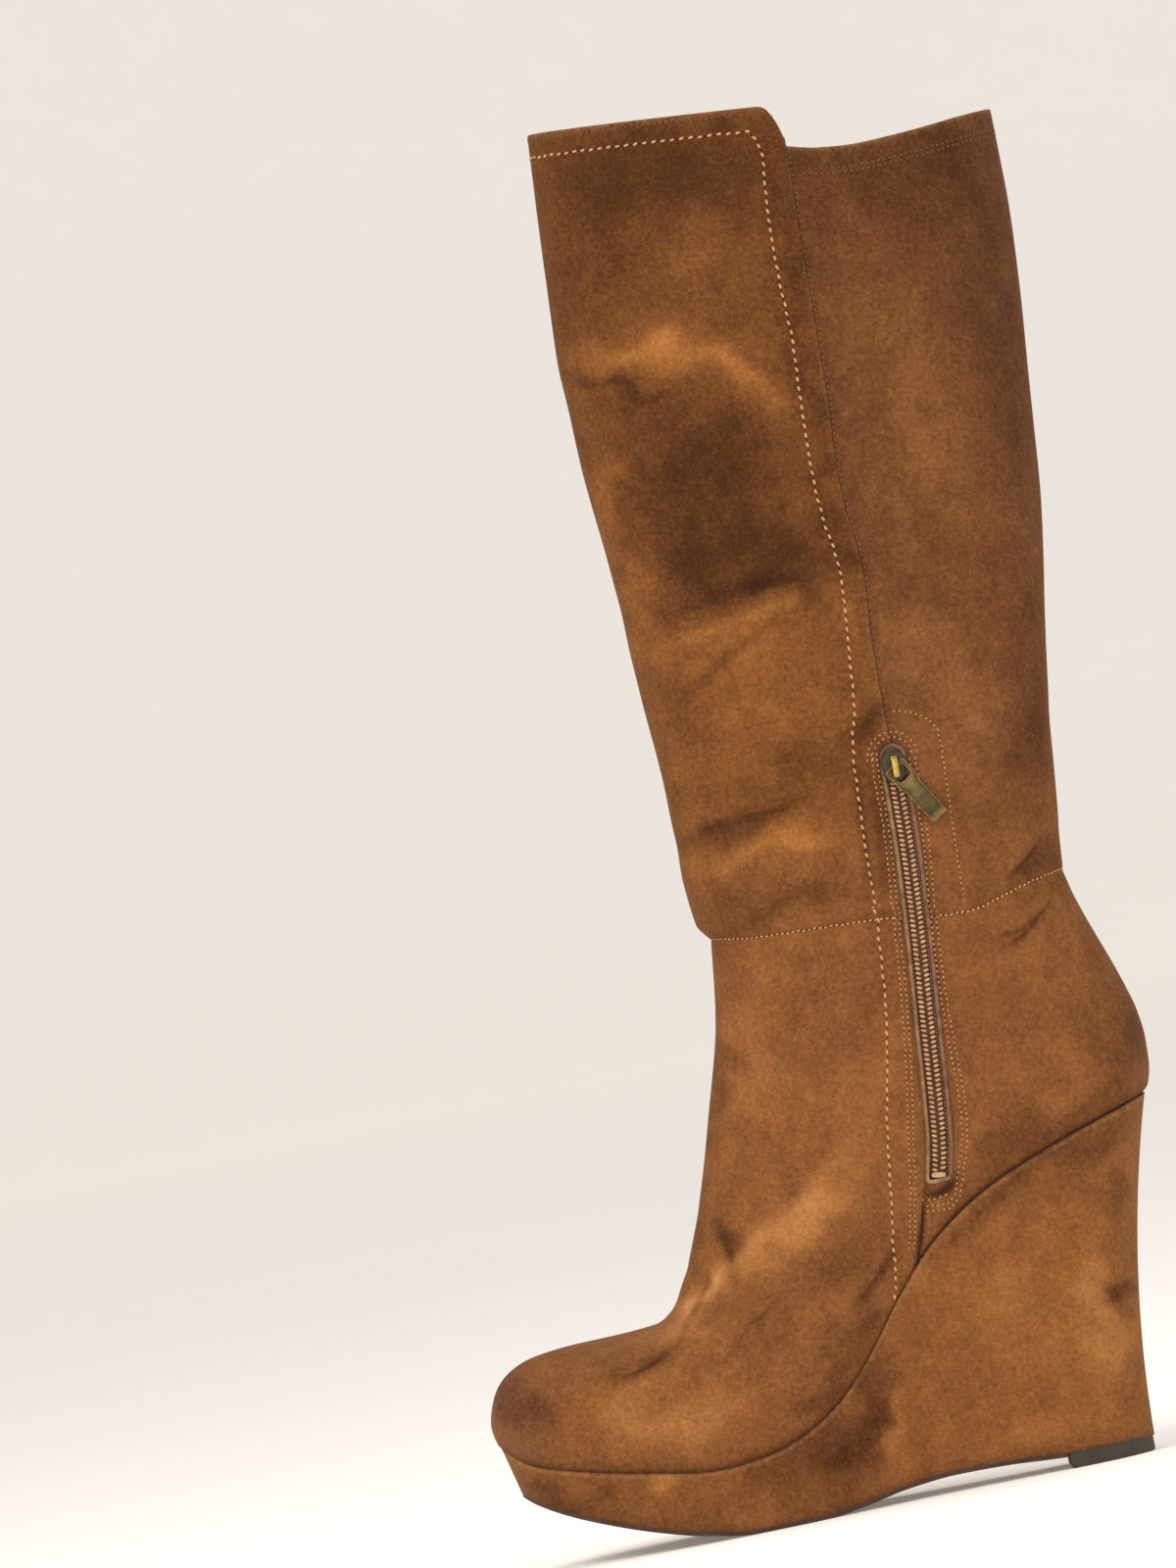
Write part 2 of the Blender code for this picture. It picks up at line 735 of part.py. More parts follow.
def make_upper(cutters, into):
    """The foot of the boot in one wall, from the feather line to the ankle seam."""
    outer, inner = wall_grids(upper_point, UPPER_MESH_ROWS, lambda row: row, UPPER_WALL)
    for rim in (outer[0], inner[0]):
        rim[:, 2] = seat_height(rim[:, 0]) + SEAT_GAP
    made = walled_tube("upper", outer, inner, suede(), into)
    cut(made, cutters["window"])
    return made


def topline_cutter(into):
    """Takes off what stands above the topline: the front panel is higher and steps down at its edge."""
    top = ANKLE_HEIGHT + SHAFT_HEIGHT
    front_x, _, back_x, _ = (float(value) for value in shaft_ends(1.0))
    edge = between(front_x, back_x, PANEL_EDGE[-1][1])
    beyond = CALF_WIDTH / 2
    panel_top = top - PANEL_FALL
    back_top = panel_top - PANEL_STEP_UP
    outline = [(front_x - beyond, top), (front_x, top)]
    outline += [(between(front_x, edge, 0.5), panel_top + PANEL_FALL / 2)]
    outline += arc((edge - PANEL_CORNER, panel_top - PANEL_CORNER), PANEL_CORNER, 88, 22, 5)
    for share, dip in TOPLINE_BACK:
        outline.append((between(edge, back_x, share), back_top - TOPLINE_DIP * dip))
    outline += [(back_x + beyond, back_top)]
    outline += [(back_x + beyond, top + beyond), (front_x - beyond, top + beyond)]
    return side_cutter("topline_cutter", outline, -CALF_WIDTH, CALF_WIDTH, into)


def make_shaft(cutters, into):
    """The tall slack tube above the ankle seam, with the front panel as a step in its wall."""
    outer, inner = wall_grids(shaft_point, SHAFT_MESH_ROWS, lambda height: 1 + height, SHAFT_WALL)
    outer[0, :, 2] += GAP
    inner[0, :, 2] += GAP
    made = walled_tube("shaft", outer, inner, suede(), into)
    cut(made, cutters["window"])
    cut(made, cutters["topline"])
    return made


def wedge_side(station, side):
    """One side of a section across the wedge, from its seat down to its tucked lower edge."""
    angle = float(angle_of(station))
    seat_side, base_side = (
        float(plan(angle, ball, heel)[0 if side < 0 else 1])
        for ball, heel in ((BALL_WIDTH, HEEL_WIDTH), (SOLE_WIDTH, HEEL_BASE_WIDTH))
    )
    seat_x = between(TOE_X, HEEL_OVERHANG, station)
    base_x = between(BASE_TOE_X, BASE_HEEL_X, station)
    base_z = float(tread_height(station)) + OUTSOLE_THICKNESS + GAP
    fullness = min(1.0, 3 * math.sin(angle))
    hollowing = WEDGE_HOLLOW * float(np.clip((station - 0.6) / 0.4, 0, 1)) ** 2
    seat_side += COVER_PROUD * fullness
    points = []
    for fall in WEDGE_FALLS:
        hollow = 4 * fall * (1 - fall) * hollowing
        x = between(seat_x, base_x, fall) - hollow
        y = side * (between(seat_side, base_side, fall) - hollow * math.sin(angle) / 3)
        points.append((x, y, between(float(feather_height(station)), base_z, fall)))
    points.append((base_x, side * (base_side - COVER_EDGE * fullness), base_z))
    return points


def wedge_section(station):
    """A closed section across the wedge: inner side, base, outer side and seat."""
    inner = wedge_side(station, -1)
    outer = wedge_side(station, 1)
    seat = [tuple(between(np.array(outer[0]), np.array(inner[0]), share)) for share in (0.25, 0.5, 0.75)]
    return inner + outer[::-1] + seat


def make_wedge(into):
    """The covered wedge and platform in one."""
    return loft("wedge", [wedge_section(float(station)) for station in foot_stations()], suede(), into)


def base_station(x):
    """Station on the wedge's base at a place along the foot."""
    return (x - BASE_TOE_X) / BASE_LENGTH


def make_outsole(into):
    """The thin rubber sole under platform and arch, up to the heel tip."""
    breast = base_station(-TIP_LENGTH / 2 - BREAST_GAP)
    widths = SOLE_WIDTH - 2 * OUTSOLE_INSET, HEEL_BASE_WIDTH - 2 * OUTSOLE_INSET
    sections = []
    for angle in np.linspace(0.06, float(angle_of(breast)), SOLE_STATIONS):
        station = float(station_of(angle))
        x = between(BASE_TOE_X, BASE_HEEL_X, station)
        medial, lateral = (float(side) for side in plan(angle, *widths))
        low = float(tread_height(station))
        high = low + OUTSOLE_THICKNESS
        sections.append([(x, -medial, low), (x, -medial, high), (x, lateral, high), (x, lateral, low)])
    return loft("outsole", sections, sole_rubber(), into)


def make_heel_tip(into):
    """The rubber heel tip: straight in front, round behind."""
    breast = base_station(-TIP_LENGTH / 2)
    inner = []
    outer = []
    for angle in np.linspace(float(angle_of(breast)), math.pi, 9):
        behind = (float(station_of(angle)) - breast) / (1 - breast)
        x = between(-TIP_LENGTH / 2, BASE_HEEL_X - TIP_INSET, behind)
        medial, lateral = plan(angle, SOLE_WIDTH, HEEL_BASE_WIDTH - 2 * TIP_INSET)
        inner.append((x, float(-medial)))
        outer.append((x, float(lateral)))
    made = plate("heel_tip", inner + outer[-2::-1], TIP_THICKNESS, tip_rubber(), into)
    made.location = (0, 0, TIP_THICKNESS / 2)
    return made


def make_insole(into):
    """The sock on the seat, inside the upper's wall."""
    inset = UPPER_WALL + INSOLE_CLEARANCE
    length = FOOT_LENGTH - 2 * inset
    sections = []
    for place in foot_stations():
        x = TOE_X + FOOT_LENGTH * place
        station = (x - TOE_X - inset) / length
        if not 0.003 < station < 0.997:
            continue
        medial, lateral = (
            float(side) for side in plan(angle_of(station), BALL_WIDTH - 2 * inset, HEEL_WIDTH - 2 * inset)
        )
        low = float(seat_height(x)) + GAP
        high = low + INSOLE_THICKNESS
        sections.append([(x, -medial, low), (x, -medial, high), (x, lateral, high), (x, lateral, low)])
    return loft("insole", sections, sock_cloth(), into)


def zip_loft(name, shares, half_width, depth, thickness, columns, material, face, into):
    """A bar along the zip, of those sections."""
    sections = [zip_strip(face, float(share), half_width, depth, thickness, columns) for share in shares]
    return loft(name, sections, material, into)


def make_zip_tape(face, into):
    """The woven tape behind the opening, following the inside of the wall."""
    depth = UPPER_WALL + 1.5 * GAP
    shares = np.linspace(0.0, 0.985, 15)
    return zip_loft("zip_tape", shares, TAPE_WIDTH / 2, depth, TAPE_THICKNESS, 7, tape_cloth(), face, into)


def make_zip_coil(face, into):
    """The closed coil as one bar on the tape, from the bottom stop to the slider."""
    depth = UPPER_WALL + 0.5 * GAP - COIL_THICKNESS
    start = (STOP_HEIGHT + 2 * GAP) / ZIP_LENGTH
    end = 1 - (SLIDER_DROP + SLIDER_LENGTH / 2 + GAP) / ZIP_LENGTH
    shares = np.linspace(start, end, 24)
    return zip_loft("zip_coil", shares, COIL_WIDTH / 2, depth, COIL_THICKNESS, 3, coil_nylon(), face, into)


def make_zip_stop(face, into):
    """The metal stop across the bottom of the coil."""
    depth = UPPER_WALL + 0.5 * GAP - COIL_THICKNESS - GAP
    half_width = COIL_WIDTH / 2 + 2 * GAP
    shares = (0.0, STOP_HEIGHT / ZIP_LENGTH)
    return zip_loft("zip_stop", shares, half_width, depth, COIL_THICKNESS + GAP, 3, old_brass(), face, into)


def slider_frame(face):
    """Where slider and pull sit: X along the zip upwards, Y across towards the toe, Z out of the boot."""
    share = 1 - SLIDER_DROP / ZIP_LENGTH
    centre = zip_place(share)
    depth = UPPER_WALL + 0.5 * GAP
    place, normal = face_point(face, centre[0], centre[1], depth)
    across_side = zip_across(share)
    along = Vector((-across_side[1], 0, across_side[0]))
    out = Vector(normal)
    along = (along - out * along.dot(out)).normalized()
    across = out.cross(along)
    frame = Matrix((along, across, out)).transposed().to_4x4()
    frame.translation = Vector(place)
    return frame


def block(name, size, centre, into):
    """A box of that size, drawn round its centre in its own frame."""
    bpy.ops.mesh.primitive_cube_add(size=1)
    made = bpy.context.active_object
    made.name = name
    made.data.transform(Matrix.Translation(centre) @ Matrix.Diagonal((*size, 1)))
    for holder in list(made.users_collection):
        holder.objects.unlink(made)
    into.objects.link(made)
    return made


def make_slider(frame, parts, helpers):
    """The slider: a shield-shaped plate on two cheeks, with a bridge over it for the pull."""
    half = SLIDER_WIDTH / 2
    tail = SLIDER_LENGTH / 2
    outline = arc((tail - half, 0), half, -75, 75, 8)
    outline += [(-0.36 * tail, 0.92 * half), (-0.84 * tail, 0.66 * half), (-tail, 0.5 * half)]
    outline += [(-tail, -0.5 * half), (-0.84 * tail, -0.66 * half), (-0.36 * tail, -0.92 * half)]
    made = plate("zip_slider", outline, SLIDER_PLATE, old_brass(), parts)
    made.data.transform(Matrix.Translation((0, 0, PLATE_LEVEL + SLIDER_PLATE / 2)))
    middle = PLATE_LEVEL + SLIDER_PLATE / 2
    post_height = SLIDER_PLATE / 2 + BRIDGE_ROOM + BRIDGE_BAR
    post_x = (BRIDGE_LENGTH - BRIDGE_BAR) / 2
    top_z = PLATE_LEVEL + SLIDER_PLATE + BRIDGE_ROOM + BRIDGE_BAR / 2
    cheek_y = COIL_WIDTH / 2 + 2 * GAP + CHEEK_THICKNESS / 2
    cheek_height = middle - GAP
    post_size = (BRIDGE_BAR, BRIDGE_WIDTH, post_height)
    cheek_size = (1.1 * tail, CHEEK_THICKNESS, cheek_height)
    pieces = (
        ("bridge_post_low", post_size, (-post_x, 0, middle + post_height / 2)),
        ("bridge_post_high", post_size, (post_x, 0, middle + post_height / 2)),
        ("bridge_top", (2 * post_x, BRIDGE_WIDTH, BRIDGE_BAR), (0, 0, top_z)),
        ("cheek_front", cheek_size, (0.16 * tail, cheek_y, GAP + cheek_height / 2)),
        ("cheek_back", cheek_size, (0.16 * tail, -cheek_y, GAP + cheek_height / 2)),
    )
    for name, size, centre in pieces:
        piece = helper(block(name, size, centre, helpers))
        piece.matrix_world = frame
        cut(made, piece, "UNION")
    made.matrix_world = frame
    return made


def make_pull(frame, parts, helpers):
    """The flat pull with its eye round the bridge. Its origin is on the bar that turns in the bridge."""
    bar = PULL_THICKNESS / 2
    head_end = bar + PULL_EYE_LENGTH + PULL_RIM
    head = PULL_HEAD_WIDTH / 2
    body = PULL_WIDTH / 2
    side = [(-bar, head - PULL_CORNER), (PULL_CORNER - bar, head), (head_end - PULL_SHOULDER, head)]
    side += [(head_end, body), (PULL_LENGTH - PULL_CORNER, body), (PULL_LENGTH, body - PULL_CORNER)]
    outline = [(x, -y) for x, y in side] + side[::-1]
    made = plate("zip_pull", outline, PULL_THICKNESS, old_brass(), parts)
    bar_height = PLATE_LEVEL + SLIDER_PLATE + BRIDGE_ROOM / 2
    place = frame @ Matrix.Translation((0, 0, bar_height)) @ Matrix.Rotation(math.pi + PULL_SWING, 4, "Z")
    made.matrix_world = place
    eye_size = (PULL_EYE_LENGTH, PULL_EYE_WIDTH, 3 * PULL_THICKNESS)
    eye = helper(block("pull_eye", eye_size, (bar + PULL_EYE_LENGTH / 2, 0, 0), helpers))
    eye.matrix_world = place
    cut(made, eye)
    return made


def main():
    """Clears the scene and builds the boot."""
    for old in list(bpy.data.objects):
        bpy.data.objects.remove(old)
    parts = collection("knee_high_boot")
    helpers = collection("cutters", helper=True)
    window = side_cutter("window_cutter", window_outline(), -CALF_WIDTH, -ANKLE_WIDTH / 6, helpers)
    cutters = {"window": window, "topline": topline_cutter(helpers)}
    make_wedge(parts)
    make_outsole(parts)
    make_heel_tip(parts)
    make_insole(parts)
    make_upper(cutters, parts)
    make_shaft(cutters, parts)
    face = inner_face()
    make_zip_tape(face, parts)
    make_zip_coil(face, parts)
    make_zip_stop(face, parts)
    frame = slider_frame(face)
    make_slider(frame, parts, helpers)
    make_pull(frame, parts, helpers)


if __name__ == "__main__":
    main()
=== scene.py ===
"""Looks of the knee-high boot: suede panels over a covered wedge, a short zip and rows of stitches.

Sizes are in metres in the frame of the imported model: X runs from the toe to the heel, Y from the
inner side with the zip to the outer side, Z up from the floor. Tables hold shares of named sizes.
Marks and stitch lines are drawn on the side view in millimetres, (x, z).
"""

import logging
import math
from dataclasses import dataclass, field
from enum import Enum

import bmesh
import bpy
import numpy as np
from mathutils import Matrix, Vector


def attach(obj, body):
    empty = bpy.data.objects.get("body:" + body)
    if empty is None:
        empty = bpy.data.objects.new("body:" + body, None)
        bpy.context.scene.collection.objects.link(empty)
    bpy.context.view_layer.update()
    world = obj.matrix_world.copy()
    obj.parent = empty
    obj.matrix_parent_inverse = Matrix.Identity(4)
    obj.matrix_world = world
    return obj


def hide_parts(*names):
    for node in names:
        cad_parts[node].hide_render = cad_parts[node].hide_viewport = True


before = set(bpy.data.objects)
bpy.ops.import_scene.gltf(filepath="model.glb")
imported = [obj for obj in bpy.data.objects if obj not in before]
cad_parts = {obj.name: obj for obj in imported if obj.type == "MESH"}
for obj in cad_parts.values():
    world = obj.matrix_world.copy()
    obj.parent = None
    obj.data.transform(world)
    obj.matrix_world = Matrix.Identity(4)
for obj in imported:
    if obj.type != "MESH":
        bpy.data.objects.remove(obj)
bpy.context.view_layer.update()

MM = 0.001
LOG = logging.getLogger("boot")
# Width of the band across the boot over which the inner side passes into the outer.
MIDDLE_BAND = 22 * MM
# Folds fade out over this reach, from this distance off the zip's opening.
CALM_FROM, CALM_REACH = 1.5 * MM, 11 * MM

# Feather line, where upper and wedge meet, from toe 0 to heel 1.
FEATHER_LINE = np.array([
    # station, toe, climb
    (0.00, 1.00, 0.000), (0.04, 0.66, 0.000), (0.10, 0.44, 0.000), (0.20, 0.18, 0.000),
    (0.30, 0.00, 0.000), (0.36, 0.00, 0.012), (0.42, 0.00, 0.055), (0.48, 0.00, 0.140),
    (0.54, 0.00, 0.290), (0.60, 0.00, 0.480), (0.66, 0.00, 0.635), (0.74, 0.00, 0.770),
    (0.84, 0.00, 0.875), (1.00, 0.00, 1.000),
])
# Plan outline: ball is the share of the ball's width in the local width.
PLAN_OUTLINE = np.array([
    # station, ball, medial, lateral
    (0.00, 1.00, 0.080, -0.080), (0.03, 1.00, 0.285, 0.150), (0.08, 1.00, 0.395, 0.290),
    (0.15, 1.00, 0.462, 0.395), (0.25, 1.00, 0.502, 0.474), (0.33, 1.00, 0.498, 0.504),
    (0.42, 1.00, 0.464, 0.512), (0.50, 0.70, 0.452, 0.540), (0.60, 0.40, 0.440, 0.536),
    (0.70, 0.15, 0.452, 0.520), (0.80, 0.00, 0.480, 0.512), (0.88, 0.00, 0.478, 0.494),
    (0.94, 0.00, 0.412, 0.420), (0.98, 0.00, 0.250, 0.255), (1.00, 0.00, 0.000, 0.000),
])
# Rows of the upper from the feather line 0 to the ankle seam 1.
UPPER_ROWS = np.array([
    # row, front, box, climb, rise, sag, oval, swell
    (0.00, 0.000, 0.00, 0.000, 0.00, 1.00, 0.00, 1.000),
    (0.06, -0.006, 0.26, 0.000, 0.06, 0.95, 0.00, 1.030),
    (0.12, 0.006, 0.58, 0.000, 0.12, 0.89, 0.02, 1.045),
    (0.18, 0.030, 0.80, 0.000, 0.18, 0.82, 0.05, 1.045),
    (0.24, 0.070, 0.93, 0.000, 0.25, 0.73, 0.10, 1.035),
    (0.31, 0.131, 0.98, 0.000, 0.35, 0.61, 0.16, 1.015),
    (0.38, 0.196, 0.99, 0.000, 0.46, 0.48, 0.24, 0.985),
    (0.44, 0.250, 1.00, 0.003, 0.56, 0.38, 0.32, 0.955),
    (0.49, 0.281, 1.00, 0.032, 0.63, 0.31, 0.40, 0.930),
    (0.56, 0.306, 1.00, 0.110, 0.70, 0.23, 0.52, 0.910),
    (0.65, 0.346, 1.00, 0.290, 0.775, 0.15, 0.66, 0.900),
    (0.77, 0.388, 1.00, 0.540, 0.86, 0.08, 0.81, 0.900),
    (0.89, 0.424, 1.00, 0.785, 0.935, 0.03, 0.93, 0.900),
    (1.00, 0.440, 1.00, 1.000, 1.00, 0.00, 1.00, 0.900),
])
HEEL_LINE = np.array([
    # rise, bulge, tuck
    (0.00, 0.00, 0.00), (0.04, 0.50, 0.00), (0.13, 0.92, 0.00), (0.24, 1.00, 0.00),
    (0.35, 1.00, 0.06), (0.46, 1.00, 0.20), (0.575, 1.00, 0.38), (0.69, 1.00, 0.58),
    (0.80, 1.00, 0.765), (0.915, 1.00, 0.93), (1.00, 1.00, 1.00),
])
SHAFT_ROWS = np.array([
    # height, front, back, width
    (0.000, 0.00, 0.00, 0.00), (0.020, 0.33, 0.02, 0.12), (0.068, 0.42, 0.08, 0.22),
    (0.187, 0.44, 0.23, 0.42), (0.306, 0.58, 0.42, 0.62), (0.459, 0.72, 0.68, 0.84),
    (0.600, 0.95, 0.83, 0.97), (0.714, 1.00, 0.94, 1.00), (0.833, 0.88, 1.00, 0.95),
    (1.000, 0.62, 1.00, 0.86),
])
SEAM_LINE = np.array([
    # station, sag
    (0.00, 0.00), (0.12, 0.30), (0.28, 0.42), (0.48, 0.60), (0.62, 0.95), (0.72, 1.00),
    (0.82, 0.62), (0.92, 0.20), (1.00, 0.00),
])
TOPLINE_BACK = np.array([
    # share, dip
    (0.00, 0.00), (0.02, 0.10), (0.15, 0.70), (0.33, 1.00), (0.60, 0.75), (0.85, 0.25),
    (1.00, 0.00),
])
PANEL_EDGE = np.array([
    # level, edge
    (0.00, 0.626), (0.12, 0.648), (0.18, 0.653), (0.26, 0.645), (0.38, 0.613), (0.46, 0.597),
    (0.55, 0.590), (0.75, 0.573), (1.00, 0.566), (1.06, 0.590), (1.13, 0.587), (1.25, 0.570),
    (1.45, 0.553), (1.60, 0.546), (1.90, 0.550), (2.00, 0.545),
])
# The front pieces' edge on the inner side, (z, x) in millimetres. It runs through the zip's
# opening, whose outline is cut out of both pieces.
INNER_EDGE = np.array([
    # z, x
    (60.0, -61.5), (75.0, -56.8), (84.9, -53.9), (92.8, -51.2), (105.9, -48.1), (110.0, -46.6),
    (125.0, -41.5), (150.0, -37.5), (200.0, -31.0), (240.0, -28.2), (266.0, -28.0),
    (286.0, -27.8), (305.0, -27.2), (321.0, -25.8), (333.0, -25.6), (349.0, -27.2),
    (367.0, -27.6), (389.0, -25.8), (422.0, -24.9), (458.0, -23.7), (481.0, -22.6),
    (504.0, -22.2),
])
TREAD_LINE = np.array([
    # station, spring, arch
    (0.00, 1.00, 0.00), (0.02, 0.88, 0.00), (0.06, 0.70, 0.00), (0.12, 0.49, 0.00),
    (0.20, 0.26, 0.00), (0.28, 0.09, 0.00), (0.36, 0.00, 0.00), (0.47, 0.00, 0.00),
    (0.53, 0.00, 0.28), (0.60, 0.00, 0.76), (0.68, 0.00, 1.00), (0.76, 0.00, 0.95),
    (0.82, 0.00, 0.80), (0.86, 0.00, 0.72), (1.00, 0.00, 0.72),
])
ZIP_LINE = np.array([
    # along, back
    (0.00, 0.00), (0.10, 0.23), (0.37, 0.53), (0.63, 0.80), (0.80, 0.93), (1.00, 1.00),
])


class Side(Enum):
    """Which side of the boot a mark or a row lies on."""

    INNER = "inner"
    OUTER = "outer"
    BOTH = "both"


def smooth(table: np.ndarray, index: int, at: np.ndarray) -> np.ndarray:
    """Reads a column of a table by a monotone cubic through its lines, held level past both ends.

    Args:
        table: lines that begin with their station, in rising order.
        index: the column to read.
        at: stations, of any shape.

    Returns:
        The column's values at those stations.
    """
    xs, ys = table[:, 0], table[:, index]
    at = np.clip(np.asarray(at, float), xs[0], xs[-1])
    steps = np.diff(xs)
    rises = np.diff(ys) / steps
    slopes = np.zeros_like(ys)
    same = rises[:-1] * rises[1:] > 0
    first, second = 2 * steps[1:] + steps[:-1], steps[1:] + 2 * steps[:-1]
    blend = first / np.where(same, rises[:-1], 1.0) + second / np.where(same, rises[1:], 1.0)
    slopes[1:-1] = np.where(same, (first + second) / np.where(blend == 0, 1.0, blend), 0.0)
    slopes[0], slopes[-1] = rises[0], rises[-1]
    cell = np.clip(np.searchsorted(xs, at, side="right") - 1, 0, len(xs) - 2)
    width = steps[cell]
    t = (at - xs[cell]) / width
    near = (1 + 2 * t) * (1 - t) ** 2 * ys[cell] + t * (1 - t) ** 2 * width * slopes[cell]
    far = t**2 * (3 - 2 * t) * ys[cell + 1] + t**2 * (t - 1) * width * slopes[cell + 1]
    return near + far


def angle_of(station: np.ndarray) -> np.ndarray:
    """The angle whose cosine runs with the station, so that stations crowd at toe and heel."""
    return np.arccos(1 - 2 * np.clip(station, 0, 1))


def station_of(angle: np.ndarray) -> np.ndarray:
    """The station of an angle: half of one less its cosine."""
    return (1 - np.cos(angle)) / 2


def between(start: np.ndarray, end: np.ndarray, share: np.ndarray) -> np.ndarray:
    """The value a share of the way from start to end."""
    return start + (end - start) * share


def ease(value: np.ndarray) -> np.ndarray:
    """A soft step from 0 to 1: three times the square less twice the cube."""
    t = np.clip(value, 0.0, 1.0)
    return t * t * (3 - 2 * t)


def unit(vectors: np.ndarray) -> np.ndarray:
    """Vectors along the last axis, each divided by its length."""
    return vectors / np.maximum(np.linalg.norm(vectors, axis=-1, keepdims=True), 1e-12)


def wrapped(turn: np.ndarray) -> np.ndarray:
    """The same angles, brought between minus pi and pi."""
    return (turn + math.pi) % (2 * math.pi) - math.pi


def rolled(distance: np.ndarray, radius: float) -> np.ndarray:
    """How far a rolled edge falls at a distance from it: a quarter circle of that radius."""
    reach = np.clip(radius - distance, 0, radius)
    return radius - np.sqrt(radius**2 - reach**2)


def run_along(line: np.ndarray) -> np.ndarray:
    """Length along a line up to each of its points, from zero."""
    return np.concatenate([[0.0], np.cumsum(np.linalg.norm(np.diff(line, axis=0), axis=1))])


def even_line(line: np.ndarray, count: int) -> np.ndarray:
    """An open line read at even shares of its length.

    Args:
        line: points of the line, (n, k).
        count: how many points to return.

    Returns:
        Points on the line, (count, k).
    """
    run = run_along(line)
    at = np.linspace(0, run[-1], count)
    return np.stack([np.interp(at, run, line[:, axis]) for axis in range(line.shape[1])], axis=1)


def curve_through(points: np.ndarray, count: int) -> np.ndarray:
    """A Catmull-Rom curve through drawn points, read at even shares of its drawn length.

    Args:
        points: drawn points, (n, k).
        count: how many points to return.

    Returns:
        Points on the curve, (count, k), evenly spaced along it.
    """
    points = np.asarray(points, float)
    padded = np.vstack([2 * points[0] - points[1], points, 2 * points[-1] - points[-2]])
    t = np.linspace(0, len(points) - 1, 24 * len(points))
    cell = np.minimum(t.astype(int), len(points) - 2)
    u = (t - cell)[:, None]
    a, b, c, d = (padded[cell + shift] for shift in range(4))
    square, cube = 2 * a - 5 * b + 4 * c - d, 3 * b - a - 3 * c + d
    return even_line(0.5 * (2 * b + (c - a) * u + square * u**2 + cube * u**3), count)


@dataclass(frozen=True)
class Mark:
    """A soft trough or ridge, or a stroke of nap tone, painted light or painted shade, drawn on the side view.

    height is in millimetres for relief, or a share of lightness for a stroke. Troughs and dark strokes
    are below zero. Towards both ends, over fade_share of its length, it falls to end_share.
    """

    points: tuple
    width: float
    height: float
    side: Side = Side.INNER
    steps: int = 18
    reach: float = 3.0
    fade_share: float = 0.3
    end_share: float = 0.25

    def field(self, x: np.ndarray, z: np.ndarray, inner: np.ndarray) -> np.ndarray:
        """The mark's value at points of the side view: its height times the exponential of less
        the squared share of its width, faded at its two ends.

        Args:
            x: places along the foot in millimetres, (n,).
            z: heights in millimetres, (n,).
            inner: share that each point has in the inner side, (n,).

        Returns:
            The value at each point, (n,).
        """
        total = np.zeros_like(x)
        line = curve_through(np.array(self.points), self.steps)
        margin = self.reach * self.width
        low, high = line.min(0) - margin, line.max(0) + margin
        near = (x > low[0]) & (x < high[0]) & (z > low[1]) & (z < high[1])
        weights = {Side.INNER: inner, Side.OUTER: 1 - inner, Side.BOTH: np.ones_like(inner)}
        weight = weights[self.side]
        where = np.flatnonzero(near & (weight > 0))
        if not len(where):
            return total
        p = np.stack([x[where], z[where]], axis=1)[:, None, :]
        start, step = line[:-1][None], np.diff(line, axis=0)[None]
        t = np.clip(((p - start) * step).sum(2) / (step**2).sum(2), 0, 1)
        off = p - (start + step * t[..., None])
        far = np.hypot(off[..., 0], off[..., 1])
        best = far.argmin(1)
        rows = np.arange(len(where))
        u = far[rows, best] / self.width
        along = (best + t[rows, best]) / (len(line) - 1)
        fade = ease(along / self.fade_share) * ease((1 - along) / self.fade_share)
        ends = self.end_share + (1 - self.end_share) * fade
        total[where] = self.height * np.exp(-(u**2)) * ends * weight[where]
        return total


def sum_of(marks: tuple, x: np.ndarray, z: np.ndarray, inner: np.ndarray) -> np.ndarray:
    """The sum of all marks at side-view points in metres, of any shape."""
    flat_x, flat_z = np.ravel(x) / MM, np.ravel(z) / MM
    flat_inner = np.ravel(inner)
    total = np.zeros_like(flat_x)
    for mark in marks:
        total += mark.field(flat_x, flat_z, flat_inner)
    return total.reshape(np.shape(x))


def inner_share(y: np.ndarray) -> np.ndarray:
    """Share of the inner side at places across the boot: from 1 to 0 over a soft band in the middle."""
    return ease(0.5 - y / MIDDLE_BAND)


def wander(x: np.ndarray, z: np.ndarray) -> tuple[np.ndarray, np.ndarray]:
    """Side-view points in metres shifted by a few millimetres: sines of both places at three
    wavelengths, so that strokes of nap and painted light get ragged borders."""
    u, v = x / MM, z / MM
    across = 3.4 * np.sin(v / 9.1 + 0.7 * np.sin(u / 7.3)) + 2.1 * np.sin(u / 4.3 + v / 3.1)
    along = 3.1 * np.sin(u / 8.3 + 0.8 * np.sin(v / 6.1)) + 2.2 * np.sin(v / 3.7 - u / 4.9)
    across = across + 1.1 * np.sin(u / 1.9 + 2.0 * np.sin(v / 2.3))
    return x + across * MM, z + along * MM
